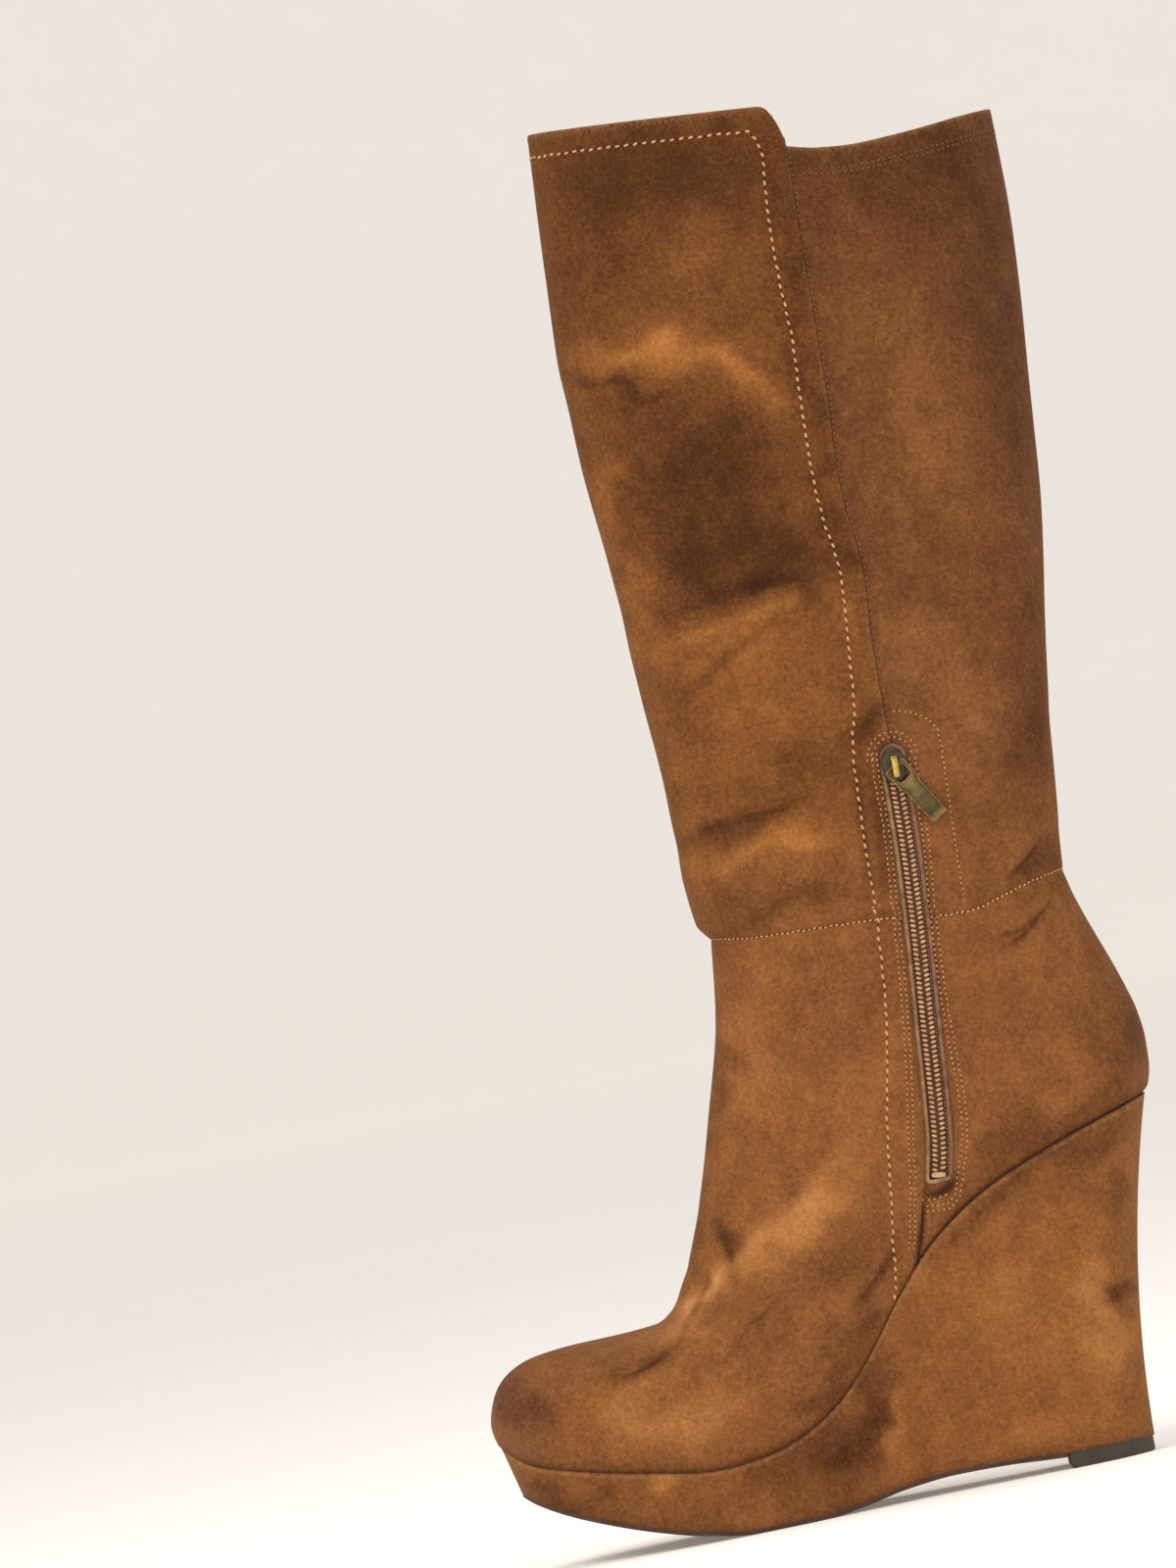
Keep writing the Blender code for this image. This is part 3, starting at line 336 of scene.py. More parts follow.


# Folds and dents of the suede, placed from the photo. Heights are in millimetres.
FOLDS = (
    Mark(((-117, 419), (-90, 423), (-58, 413), (-43, 393)), 9.0, 1.3),
    Mark(((-114, 403), (-90, 404), (-62, 393), (-46, 374)), 10.0, -1.1),
    Mark(((-112, 316), (-72, 318), (-54, 322), (-30, 323)), 7.0, 1.1),
    Mark(((-108, 330), (-74, 335), (-40, 338)), 11.0, -1.0),
    Mark(((-102, 280), (-76, 289), (-46, 294)), 9.0, -0.9),
    Mark(((-110, 242), (-96, 248.5), (-73, 249.5), (-50, 251)), 3.8, -0.8),
    Mark(((-108, 234), (-89, 237.5), (-66, 237.3), (-46, 236)), 5.0, 1.1),
    Mark(((-107, 220), (-91, 221), (-72, 220), (-55, 217)), 4.5, -0.8),
    Mark(((-108, 268), (-98, 260), (-84, 258)), 4.5, -0.8),
    Mark(((6, 209), (13, 214.5), (20, 221)), 2.6, -1.5),
    Mark(((4, 214), (10, 219.5), (16, 226)), 3.6, 0.9),
    Mark(((14, 204.5), (20.5, 206), (26, 212)), 2.4, -0.9),
    Mark(((1, 245), (18, 256), (33, 275)), 9.0, -1.0),
    Mark(((-16, 183), (0, 187), (13, 193)), 3.5, -0.7),
    Mark(((-62, 127), (-98, 104), (-135, 81.5), (-157, 68)), 8.0, 1.2),
    Mark(((-58, 106), (-80, 90), (-104, 76), (-128, 62)), 8.5, -1.1),
    Mark(((-125, 114.5), (-118.5, 104), (-118, 92)), 2.6, -1.0),
    Mark(((-136, 98), (-128, 88.5), (-127, 77)), 2.8, -0.9),
    Mark(((-170, 64), (-158, 65), (-146, 70), (-137, 77)), 3.4, -0.8),
    Mark(((-165, 60.5), (-151, 59.5), (-136, 64)), 3.4, 0.8),
    Mark(((18, 167), (25, 148), (25, 130)), 7.0, -0.9),
    Mark(((-100, 480), (-95, 455), (-99, 435)), 12.0, -0.8),
    Mark(((-55, 470), (-60, 445), (-52, 425)), 12.0, 0.7),
    Mark(((0, 470), (8, 420), (4, 370)), 16.0, 0.9),
    Mark(((38, 440), (40, 390), (36, 340)), 12.0, -0.9),
    Mark(((-116, 421), (-92, 431), (-60, 424), (-40, 412)), 9.0, 1.1, Side.OUTER),
    Mark(((-112, 330), (-80, 322), (-46, 330)), 9.0, -1.2, Side.OUTER),
    Mark(((-108, 246), (-86, 241), (-60, 247), (-40, 245)), 4.5, -1.3, Side.OUTER),
    Mark(((-108, 233), (-84, 229), (-52, 233)), 5.0, 1.2, Side.OUTER),
    Mark(((-8, 300), (18, 290), (36, 300)), 10.0, -1.2, Side.OUTER),
    Mark(((0, 226), (14, 218), (26, 224)), 3.4, -1.3, Side.OUTER),
    Mark(((-62, 132), (-96, 108), (-132, 84)), 9.0, 1.1, Side.OUTER),
    Mark(((-60, 112), (-84, 94), (-108, 78)), 9.0, -1.1, Side.OUTER),
    Mark(((-128, 112), (-121, 101), (-121, 90)), 3.0, -1.0, Side.OUTER),
    Mark(((-170, 66), (-157, 64), (-143, 71)), 3.2, -1.1, Side.OUTER),
    Mark(((-4, 178), (10, 160), (14, 140)), 8.0, -0.8, Side.OUTER),
)

# Brushed light and dark of the nap, placed from the photo.
# Among them are painted highlights on fold ridges and painted shade in creases.
NAP_AND_PAINTED_LIGHT = (
    Mark(((-108, 482), (-66, 481), (-29, 470)), 16.0, -0.16, Side.BOTH),
    Mark(((-111, 422), (-81, 420), (-56, 408), (-43, 386)), 5.5, 0.30),
    Mark(((-104, 412), (-79, 410), (-50, 388)), 11.0, 0.12),
    Mark(((-106, 384), (-80, 374), (-40, 362)), 17.0, -0.26),
    Mark(((-102, 350), (-71, 344), (-34, 338)), 14.0, -0.24),
    Mark(((-107, 310), (-73, 309), (-34, 314)), 7.0, 0.13),
    Mark(((-99, 286), (-67, 292), (-38, 297)), 14.0, 0.16),
    Mark(((-112, 403), (-108, 352), (-109, 310)), 6.0, 0.20),
    Mark(((-52, 270), (-37, 276), (-30, 282)), 6.5, -0.18),
    Mark(((-106, 246), (-83, 249), (-54, 251)), 3.6, -0.14),
    Mark(((-78, 262), (-53, 261), (-40, 254)), 9.0, -0.16),
    Mark(((-102, 237), (-67, 237), (-50, 235)), 4.5, 0.18),
    Mark(((-104, 218.5), (-76, 217), (-58, 215)), 5.0, -0.16),
    Mark(((-89, 197), (-100, 166), (-109, 132)), 12.0, 0.18),
    Mark(((-63, 190), (-62, 158), (-64, 133)), 9.0, 0.04),
    Mark(((-104, 195), (-114, 154), (-128, 114), (-142, 85)), 4.0, -0.16, Side.BOTH),
    Mark(((-62, 127), (-98, 104.5), (-135, 82), (-155, 69)), 5.5, 0.30),
    Mark(((-61, 104), (-77, 88), (-94, 75)), 10.0, -0.10),
    Mark(((-60, 84), (-76, 67), (-92, 50), (-116, 37)), 6.0, -0.24, Side.BOTH),
    Mark(((-212, 59), (-203, 62), (-191, 58)), 9.0, -0.24, Side.BOTH),
    Mark(((-190, 72), (-169, 71), (-143, 73)), 7.0, -0.04, Side.BOTH),
    Mark(((-181, 47), (-152, 47), (-124, 49)), 9.0, 0.27, Side.BOTH),
    Mark(((-168, 64), (-158, 65.5), (-146, 70)), 3.0, -0.14),
    Mark(((-121, 110), (-117, 93)), 3.4, -0.24),
    Mark(((-13, 173), (5, 177), (18, 185)), 10.0, 0.04),
    Mark(((38, 175), (41, 148), (38, 130)), 7.0, -0.20, Side.BOTH),
    Mark(((-32, 108), (-10, 118), (16, 125), (38, 129)), 6.5, -0.20, Side.BOTH),
    Mark(((-16, 465), (19, 461), (52, 462)), 18.0, -0.16, Side.BOTH),
    Mark(((-1, 414), (9, 376), (4, 330)), 17.0, 0.12),
    Mark(((-10, 312), (-2, 282), (0, 253)), 12.0, 0.14),
    Mark(((35, 330), (29, 275), (24, 226)), 10.0, -0.07),
    Mark(((7, 258), (26, 262), (34, 275)), 8.0, -0.07),
    Mark(((-21, 250), (-18, 225), (-19, 200)), 5.5, 0.06),
    Mark(((6, 209), (13, 214), (20, 220)), 3.0, -0.18),
    Mark(((-29, 480), (-30, 420), (-32, 360), (-29, 300)), 3.8, -0.14),
    Mark(((-38, 103), (-42, 100)), 5.0, -0.22),
    Mark(((-143, 72), (-132, 82), (-124, 92)), 2.2, 0.22),
    Mark(((-129, 60), (-112, 71), (-95, 84)), 1.6, -0.16),
    Mark(((-74, 331), (-58, 327), (-42, 329)), 1.8, -0.22),
    Mark(((-112, 413), (-92, 409), (-76, 403)), 2.4, -0.22),
    Mark(((-20, 240), (-8, 236), (4, 240)), 2.0, -0.06),
    Mark(((-5, 190), (8, 196), (18, 204)), 1.6, -0.22),
    Mark(((-108, 430), (-80, 436), (-45, 420)), 8.0, 0.26, Side.OUTER),
    Mark(((-104, 380), (-76, 372), (-40, 376)), 18.0, -0.24, Side.OUTER),
    Mark(((-100, 320), (-70, 314), (-40, 322)), 10.0, 0.28, Side.OUTER),
    Mark(((-106, 247), (-80, 243), (-45, 248)), 6.0, -0.26, Side.OUTER),
    Mark(((-92, 200), (-100, 165), (-110, 130)), 12.0, 0.22, Side.OUTER),
    Mark(((-62, 132), (-96, 108), (-132, 84)), 6.0, 0.28, Side.OUTER),
    Mark(((-62, 108), (-80, 90), (-98, 76)), 10.0, -0.24, Side.OUTER),
    Mark(((0, 420), (10, 370), (4, 300)), 18.0, 0.14, Side.OUTER),
    Mark(((-15, 250), (5, 240), (20, 250)), 10.0, -0.16, Side.OUTER),
    Mark(((-25, 180), (0, 170), (20, 160)), 14.0, 0.12, Side.OUTER),
)

# Fine lines that keep their place: painted shade at the low end of the panels' edge, in the dip under
# the zip, over its crown and in creases at the vamp, the ankle and the quarter, a painted highlight on
# a crease's ridge and a broad lighter patch on the vamp.
SHADE = (
    Mark(((-46.3, 108.6), (-48.6, 101), (-51.5, 92.4), (-54.2, 84.6), (-57.5, 74.5)), 0.9, -0.42),
    Mark(((-47.5, 107.2), (-43, 105.9), (-37.5, 107.6), (-35, 110)), 1.5, -0.42),
    Mark(((-37.5, 268), (-34, 274), (-28.5, 277.5), (-24, 274.5)), 3.4, -0.10),
    Mark(((-109, 318), (-92, 316), (-66, 320.5), (-41, 324), (-31, 324.5)), 2.2, 0.10),
    Mark(((-98, 325), (-72, 330), (-42, 332)), 3.4, -0.13),
    Mark(((-97, 295), (-79, 307), (-60, 316.5)), 2.4, -0.12),
    Mark(((-104, 77), (-72, 71)), 9, 0.12),
    Mark(((-37.4, 259), (-37, 245), (-38.4, 228), (-39.6, 208)), 2.6, -0.14),
    Mark(((-166, 63), (-158, 65), (-150, 68), (-144, 72)), 1.2, -0.2),
    Mark(((-144, 71), (-137, 78), (-131, 85), (-127.5, 93)), 1, -0.2),
    Mark(((-122, 108), (-119, 100), (-118.5, 92)), 1.1, -0.24),
    Mark(((-106, 246.5), (-92, 249.5), (-76, 250), (-62, 251)), 1.4, -0.1),
    Mark(((4, 211), (11, 215), (18, 220.5)), 1, -0.2),
    Mark(((-3, 186), (6, 190), (14, 196)), 1, -0.18),
    Mark(((-60, 92), (-70, 80), (-84, 70)), 1.8, -0.16),
    Mark(((-41.5, 262), (-42.6, 247), (-43.7, 230), (-44.6, 212)), 1.5, -0.16),
)

# Nap of the wedge's cover, with painted light and shade where its sides turn and painted shade under the
# feather line.
WEDGE_NAP_AND_PAINTED_LIGHT = (
    Mark(((14, 80), (7, 52), (0, 24)), 9.0, 0.26),
    Mark(((-40, 75), (-20, 50), (-7, 26)), 16.0, 0.10),
    Mark(((-78, 52), (-86, 27), (-92, 10)), 9.0, -0.26),
    Mark(((-121, 27), (-100, 26), (-84, 30)), 12.0, -0.18),
    Mark(((-72.5, 42), (-74.5, 25), (-75.5, 11)), 3.4, 0.20),
    Mark(((16, 68), (15.5, 53)), 3.5, -0.45),
    Mark(((-53, 80), (-28, 100), (4, 113), (34, 120)), 7.0, -0.22, Side.BOTH),
    Mark(((-158, 29), (-154, 19)), 4.0, 0.24),
    Mark(((-215, 17), (-180, 12), (-130, 16), (-100, 20)), 12.0, -0.10, Side.BOTH),
    Mark(((-211, 41), (-199, 30), (-172, 19)), 7.0, -0.20, Side.BOTH),
    Mark(((-63, 12), (-31, 14.5), (-2, 14)), 5.0, 0.10, Side.BOTH),
    Mark(((17, 110), (18, 90), (17.5, 72)), 4.0, -0.14, Side.BOTH),
    Mark(((-60, 70), (-46, 84), (-30, 96)), 3.0, 0.10, Side.BOTH),
    Mark(((-20, 80), (0, 60), (6, 40)), 14.0, 0.20, Side.OUTER),
    Mark(((-70, 48), (-76, 27), (-82, 10)), 7.0, -0.26, Side.OUTER),
    Mark(((-50, 40), (-34, 34), (-20, 26)), 9.0, -0.22, Side.OUTER),
)


@dataclass(frozen=True)
class BootForm:
    """The boot's own shape: two parameters, the level up it and the angle round it.

    Level runs from the feather line 0 over the ankle seam 1 to the top of the shaft 2. The angle
    is 0 at the front and pi at the back, below zero on the inner side and above it on the outer.
    """

    foot_length: float = 250.0 * MM
    heel_overhang: float = 37.5 * MM
    ball_width: float = 86.0 * MM
    heel_width: float = 61.0 * MM
    heel_height: float = 126.0 * MM
    platform_height: float = 25.0 * MM
    toe_rise: float = 21.0 * MM
    toe_box_height: float = 31.5 * MM
    heel_bulge: float = 4.0 * MM
    ankle_height: float = 210.0 * MM
    ankle_depth: float = 127.5 * MM
    ankle_width: float = 64.0 * MM
    ankle_setback: float = 13.0 * MM
    seam_drop: float = 8.0 * MM
    shaft_height: float = 294.0 * MM
    shin_belly: float = 13.2 * MM
    calf_swell: float = 27.7 * MM
    calf_width: float = 74.0 * MM
    topline_dip: float = 3.8 * MM
    panel_fall: float = 8.0 * MM
    panel_step_up: float = 15.0 * MM
    panel_corner: float = 8.0 * MM
    corner_fall: float = 12.0 * MM
    corner_power: float = 2.5
    seam_fade: float = 0.14
    toe_spring: float = 28.0 * MM
    arch_rise: float = 6.0 * MM
    zip_length: float = 150.0 * MM
    zip_bottom: float = 111.0 * MM
    zip_forward: float = 41.0 * MM
    zip_lean: float = 13.0 * MM
    window_width: float = 10.2 * MM
    window_below: float = 1.8 * MM
    window_corner: float = 2.6 * MM

    @property
    def toe_x(self) -> float:
        """The toe's tip along the foot."""
        return self.heel_overhang - self.foot_length

    @property
    def ankle_back_x(self) -> float:
        """The back of the ankle along the foot."""
        return self.heel_overhang - self.ankle_setback

    @property
    def ankle_front_x(self) -> float:
        """The front of the ankle along the foot."""
        return self.ankle_back_x - self.ankle_depth

    def plan(self, angle: np.ndarray, ball: float, heel: float) -> tuple[np.ndarray, np.ndarray]:
        """Half-breadths of the sole's plan, inner and outer, at an angle from toe 0 to heel pi."""
        table = PLAN_OUTLINE.copy()
        table[:, 0] = angle_of(table[:, 0])
        share = smooth(table, 1, angle)
        width = share * ball + (1 - share) * heel
        return smooth(table, 2, angle) * width, smooth(table, 3, angle) * width

    def feather_height(self, station: np.ndarray) -> np.ndarray:
        """Height of the feather line: the platform, the toe's rise and the climb to the heel."""
        toe = self.toe_rise * smooth(FEATHER_LINE, 1, station)
        climb = (self.heel_height - self.platform_height) * smooth(FEATHER_LINE, 2, station)
        return self.platform_height + toe + climb

    def tread_height(self, station: np.ndarray) -> np.ndarray:
        """Height of the tread: the toe's spring and the arch's rise."""
        spring = self.toe_spring * smooth(TREAD_LINE, 1, station)
        return spring + self.arch_rise * smooth(TREAD_LINE, 2, station)

    def seam_sag(self, station: np.ndarray) -> np.ndarray:
        """How far the ankle seam lies below its two ends."""
        return -self.seam_drop * smooth(SEAM_LINE, 1, station)

    def upper_point(self, row: np.ndarray, angle: np.ndarray, side: np.ndarray) -> np.ndarray:
        """A point of the upper: each row runs from its front point to its back point, sagging with
        the feather line, its breadth passing from the sole's plan to the ankle's oval."""
        toe_z = self.feather_height(0.0)
        forward = smooth(UPPER_ROWS, 1, row) / UPPER_ROWS[-1, 1]
        front_x = between(self.toe_x, self.ankle_front_x, forward)
        climb = self.ankle_height - toe_z - self.toe_box_height
        box_z = toe_z + self.toe_box_height * smooth(UPPER_ROWS, 2, row)
        front_z = box_z + climb * smooth(UPPER_ROWS, 3, row)
        rise = smooth(UPPER_ROWS, 4, row)
        tuck = (self.heel_bulge + self.ankle_setback) * smooth(HEEL_LINE, 2, rise)
        back_x = self.heel_overhang + self.heel_bulge * smooth(HEEL_LINE, 1, rise) - tuck
        back_z = between(self.heel_height, self.ankle_height, rise)
        station = station_of(angle)
        sag = smooth(UPPER_ROWS, 5, row)
        level = between(self.feather_height(0.0), self.feather_height(1.0), station)
        feather_sag = self.feather_height(station) - level
        z = between(front_z, back_z, station) + sag * feather_sag + (1 - sag) * self.seam_sag(station)
        inner, outer = self.plan(angle, self.ball_width, self.heel_width)
        sole_side = np.where(side < 0, -inner, outer)
        oval = smooth(UPPER_ROWS, 6, row)
        oval_side = side * self.ankle_width / 2 * np.sin(angle)
        y = (1 - oval) * smooth(UPPER_ROWS, 7, row) * sole_side + oval * oval_side
        return np.stack(np.broadcast_arrays(between(front_x, back_x, station), y, z), axis=-1)

    def shaft_point(self, height: np.ndarray, angle: np.ndarray, side: np.ndarray) -> np.ndarray:
        """A point of the shaft: an oval at each height, whose seam sag fades out above the ankle."""
        station = station_of(angle)
        front_x = self.ankle_front_x - self.shin_belly * smooth(SHAFT_ROWS, 1, height)
        back_x = self.ankle_back_x + self.calf_swell * smooth(SHAFT_ROWS, 2, height)
        fade = ease(1 - height / self.seam_fade)
        z = self.ankle_height + self.shaft_height * height + fade * self.seam_sag(station)
        width = between(self.ankle_width, self.calf_width, smooth(SHAFT_ROWS, 3, height))
        y = side * width / 2 * np.sin(angle)
        return np.stack(np.broadcast_arrays(between(front_x, back_x, station), y, z), axis=-1)

    def point(self, level: np.ndarray, turn: np.ndarray) -> np.ndarray:
        """A point of the plain form at a level and a signed angle, (..., 3)."""
        level, turn = np.broadcast_arrays(np.asarray(level, float), np.asarray(turn, float))
        turn = wrapped(turn)
        angle, side = np.abs(turn), np.where(turn < 0, -1.0, 1.0)
        upper = self.upper_point(np.clip(level, 0, 1), angle, side)
        shaft = self.shaft_point(np.maximum(level - 1, 0), angle, side)
        return np.where((level <= 1)[..., None], upper, shaft)

    def tangents(self, level: np.ndarray, turn: np.ndarray) -> tuple[np.ndarray, np.ndarray]:
        """How the point moves with level and with angle, by small steps to both sides."""
        step = 0.002
        up = self.point(level + step, turn) - self.point(np.maximum(level - step, 0), turn)
        around = self.point(level, turn + step) - self.point(level, turn - step)
        return up / (2 * step), around / (2 * step)

    def normal(self, level: np.ndarray, turn: np.ndarray) -> np.ndarray:
        """Unit normals out of the boot: the way up crossed with the way round."""
        wide = 0.012
        up = self.point(level + wide, turn) - self.point(np.maximum(level - wide, 0), turn)
        around = self.point(level, turn + wide) - self.point(level, turn - wide)
        return unit(np.cross(up, around))

    def locate(self, x: np.ndarray, z: np.ndarray, inner: bool) -> tuple[np.ndarray, np.ndarray]:
        """Level and angle of side-view points: the nearest of a coarse grid, then Newton's steps.

        Args:
            x: places along the foot, (n,).
            z: heights, (n,).
            inner: whether the points are on the inner side.

        Returns:
            Levels and signed angles, (n,) each.
        """
        sign = -1.0 if inner else 1.0
        off_end = 0.02
        turns = sign * np.linspace(off_end, math.pi - off_end, 90)
        level, turn = np.meshgrid(np.linspace(0.0, 2.0, 161), turns)
        level, turn = level.ravel(), turn.ravel()
        grid = self.point(level, turn)
        far = (grid[None, :, 0] - x[:, None]) ** 2 + (grid[None, :, 2] - z[:, None]) ** 2
        best = far.argmin(1)
        return self.settle(level[best], turn[best], x, z, 5)

    def settle(
        self, level: np.ndarray, turn: np.ndarray, x: np.ndarray, z: np.ndarray, steps: int
    ) -> tuple[np.ndarray, np.ndarray]:
        """Newton's steps that bring level and angle to side-view points near them."""
        most_up, most_round, least_area, highest = 0.1, 0.2, 1e-7, 2.05
        for _ in range(steps):
            here = self.point(level, turn)
            up, around = self.tangents(level, turn)
            miss_x, miss_z = x - here[..., 0], z - here[..., 2]
            area = up[..., 0] * around[..., 2] - up[..., 2] * around[..., 0]
            area = np.where(np.abs(area) < least_area, least_area, area)
            rise = (miss_x * around[..., 2] - miss_z * around[..., 0]) / area
            swing = (miss_z * up[..., 0] - miss_x * up[..., 2]) / area
            level = np.clip(level + np.clip(rise, -most_up, most_up), 0.0, highest)
            turn = turn + np.clip(swing, -most_round, most_round)
        return level, turn

    def zip_centre(self, z: np.ndarray) -> tuple[np.ndarray, np.ndarray]:
        """The zip's centre line at a height, and the sine of its lean there."""
        share = (z - self.zip_bottom) / self.zip_length
        x = -self.zip_forward + self.zip_lean * smooth(ZIP_LINE, 1, share)
        step = 0.01
        change = smooth(ZIP_LINE, 1, share + step) - smooth(ZIP_LINE, 1, share - step)
        return x, self.zip_lean * change / (2 * step * self.zip_length)

    def window_distance(self, x: np.ndarray, z: np.ndarray) -> np.ndarray:
        """Distance in the side view from the zip's opening, below zero inside: a slot with round
        lower corners under a round crown."""
        half, corner = self.window_width / 2, self.window_corner
        centre, slope = self.zip_centre(z)
        across = np.abs(x - centre) / np.sqrt(1 + slope**2)
        out_x, out_z = across - half + corner, self.zip_bottom - self.window_below + corner - z
        outside = np.hypot(np.maximum(out_x, 0), np.maximum(out_z, 0))
        slot = outside + np.minimum(np.maximum(out_x, out_z), 0)
        top_z = self.zip_bottom + self.zip_length
        top_x = -self.zip_forward + self.zip_lean
        return np.where(z > top_z, np.hypot(x - top_x, z - top_z) - half, slot - corner)

    def edge_angles(self, level: np.ndarray) -> tuple[np.ndarray, np.ndarray]:
        """Angles of the front pieces' edge at each level, on the inner and on the outer side."""
        known = np.linspace(0.0, 2.03, 240)
        tries = np.linspace(0.8, 2.5, 240)
        places = self.point(known[:, None], -tries[None, :])
        edge_x = np.interp(places[..., 2] / MM, INNER_EDGE[:, 0], INNER_EDGE[:, 1]) * MM
        miss = places[..., 0] - edge_x
        inner = np.array([np.interp(0.0, miss[row], tries) for row in range(len(known))])
        return np.interp(level, known, inner), angle_of(smooth(PANEL_EDGE, 1, level))

    def top_level(self, turn: np.ndarray, front: bool) -> np.ndarray:
        """Level of the topline at each angle: the front panel falls from the shin to a round
        corner, the back panel dips behind it."""
        top = self.ankle_height + self.shaft_height
        both = np.ones(2)
        ends = self.shaft_point(both, np.array([0.0, math.pi]), both)
        front_x, back_x = ends[0, 0], ends[1, 0]
        edge = between(front_x, back_x, PANEL_EDGE[-1, 1])
        x = self.shaft_point(np.ones_like(turn), np.abs(turn), np.ones_like(turn))[..., 0]
        if front:
            share = np.clip((x - front_x) / (edge - front_x), 0, 1)
            z = top - self.panel_fall * share
            reach = np.clip((x - edge) / self.panel_corner + 1, 0, 1)
            z = z - self.corner_fall * reach**self.corner_power
        else:
            share = (x - edge) / (back_x - edge)
            dip = self.topline_dip * smooth(TOPLINE_BACK, 1, share)
            z = top - self.panel_fall - self.panel_step_up - dip
        return 1 + (z - self.ankle_height) / self.shaft_height


FORM = BootForm()


def folds_at(plain: np.ndarray, turn: np.ndarray) -> np.ndarray:
    """Height of the folds at points of the plain form, fading to nothing round the zip's opening."""
    off = FORM.window_distance(plain[..., 0], plain[..., 2])
    calm = np.where(np.asarray(turn) < 0, ease((off - CALM_FROM) / CALM_REACH), 1.0)
    return sum_of(FOLDS, plain[..., 0], plain[..., 2], inner_share(plain[..., 1])) * MM * calm


def mesh_piece(name: str, points: np.ndarray, faces: list[np.ndarray]) -> bpy.types.Object:
    """A mesh object at the origin from arrays of points and of faces, shaded smooth.

    Args:
        name: the piece's name.
        points: places of its vertices, (n, 3).
        faces: arrays of vertex numbers, (m, 3) or (m, 4).

    Returns:
        The new object, linked to the scene.
    """
    mesh = bpy.data.meshes.new(name)
    mesh.vertices.add(len(points))
    mesh.vertices.foreach_set("co", np.asarray(points, np.float32).ravel())
    corners = np.concatenate([group.ravel() for group in faces]).astype(np.int32)
    totals = np.concatenate([np.full(len(group), group.shape[1], np.int32) for group in faces])
    mesh.loops.add(len(corners))
    mesh.loops.foreach_set("vertex_index", corners)
    mesh.polygons.add(len(totals))
    starts = np.concatenate([[0], np.cumsum(totals)[:-1]]).astype(np.int32)
    mesh.polygons.foreach_set("loop_start", starts)
    mesh.polygons.foreach_set("loop_total", totals)
    mesh.update(calc_edges=True)
    mesh.validate()
    mesh.shade_smooth()
    made = bpy.data.objects.new(name, mesh)
    bpy.context.scene.collection.objects.link(made)
    return made


def set_values(piece: bpy.types.Object, name: str, values: np.ndarray) -> None:
    """Stores one number for each vertex as an attribute that a material can read."""
    attribute = piece.data.attributes.new(name, "FLOAT", "POINT")
    attribute.data.foreach_set("value", np.asarray(values, np.float32).ravel())


def grid_cells(rows: int, columns: int, wrap: bool = False) -> np.ndarray:
    """Corners of each cell of a grid of points, (cells, 4), running on from last to first column."""
    across = columns if wrap else columns - 1
    row, column = np.meshgrid(np.arange(rows - 1), np.arange(across), indexing="ij")
    after = (column + 1) % columns
    low, high = row * columns, (row + 1) * columns
    cells = np.stack([low + column, low + after, high + after, high + column], axis=-1)
    return cells.reshape(-1, 4)


def shell_faces(rows: int, columns: int, kept: np.ndarray) -> list[np.ndarray]:
    """Faces of a shell of two grids: the outer one, the inner one turned round, and a rim along
    every edge between a kept cell and one that is missing.

    Args:
        rows: rows of points in each grid.
        columns: columns of points in each grid.
        kept: which cells are there, (rows - 1, columns - 1).

    Returns:
        One array of faces, (m, 4).
    """
    size = rows * columns
    cells = grid_cells(rows, columns)
    keep = kept.ravel()
    faces = [cells[keep], cells[keep][:, ::-1] + size]
    padded = np.pad(kept, 1)
    sides = (
        (0, 1, padded[:-2, 1:-1]), (1, 2, padded[1:-1, 2:]),
        (2, 3, padded[2:, 1:-1]), (3, 0, padded[1:-1, :-2]),
    )
    for start, end, beyond in sides:
        open_edge = (kept & ~beyond).ravel()
        a, b = cells[open_edge][:, start], cells[open_edge][:, end]
        faces.append(np.stack([b, a, a + size, b + size], axis=1))
    return [np.concatenate(faces)]


def compact(points: np.ndarray, faces: list[np.ndarray], values: dict) -> tuple:
    """Drops points that no face uses, from the points and from each array of values."""
    used = np.unique(np.concatenate([group.ravel() for group in faces]))
    number = np.full(len(points), -1)
    number[used] = np.arange(len(used))
    kept = {key: value[used] for key, value in values.items()}
    return points[used], [number[group] for group in faces], kept


def outward_faces(points: np.ndarray, faces: list[np.ndarray], middle: np.ndarray) -> list[np.ndarray]:
    """Turns all faces round if a closed body's faces point inwards: its volume is then negative."""
    total = 0.0
    for group in faces:
        a = points[group[:, 0]] - middle
        for last in range(2, group.shape[1]):
            b, c = points[group[:, last - 1]] - middle, points[group[:, last]] - middle
            total += float(np.einsum("ij,ij->i", a, np.cross(b, c)).sum())
    return faces if total > 0 else [group[:, ::-1] for group in faces]


def closed_piece(name: str, points: np.ndarray, faces: list[np.ndarray]) -> bpy.types.Object:
    """A mesh object of a closed body, its faces turned outwards."""
    return mesh_piece(name, points, outward_faces(points, faces, points.mean(0)))


def lofted(name: str, rings: np.ndarray, fans: bool = True) -> bpy.types.Object:
    """A closed body through rings of points (rings, around, 3), a fan over each of its two ends.

    Args:
        name: the piece's name.
        rings: points of each ring.
        fans: False where both end rings are folded flat, so that joining their points closes them.

    Returns:
        The new object.
    """
    count, around = rings.shape[:2]
    walls, points = grid_cells(count, around, True), rings.reshape(-1, 3)
    if not fans:
        return closed_piece(name, points, [walls])
    points = np.concatenate([points, rings[0].mean(0)[None], rings[-1].mean(0)[None]])
    step = np.arange(around)
    after = (step + 1) % around
    first, last = np.full(around, count * around), np.full(around, count * around + 1)
    low = np.stack([after, step, first], axis=1)
    high = np.stack([step + (count - 1) * around, after + (count - 1) * around, last], axis=1)
    return closed_piece(name, points, [walls, np.concatenate([low, high])])


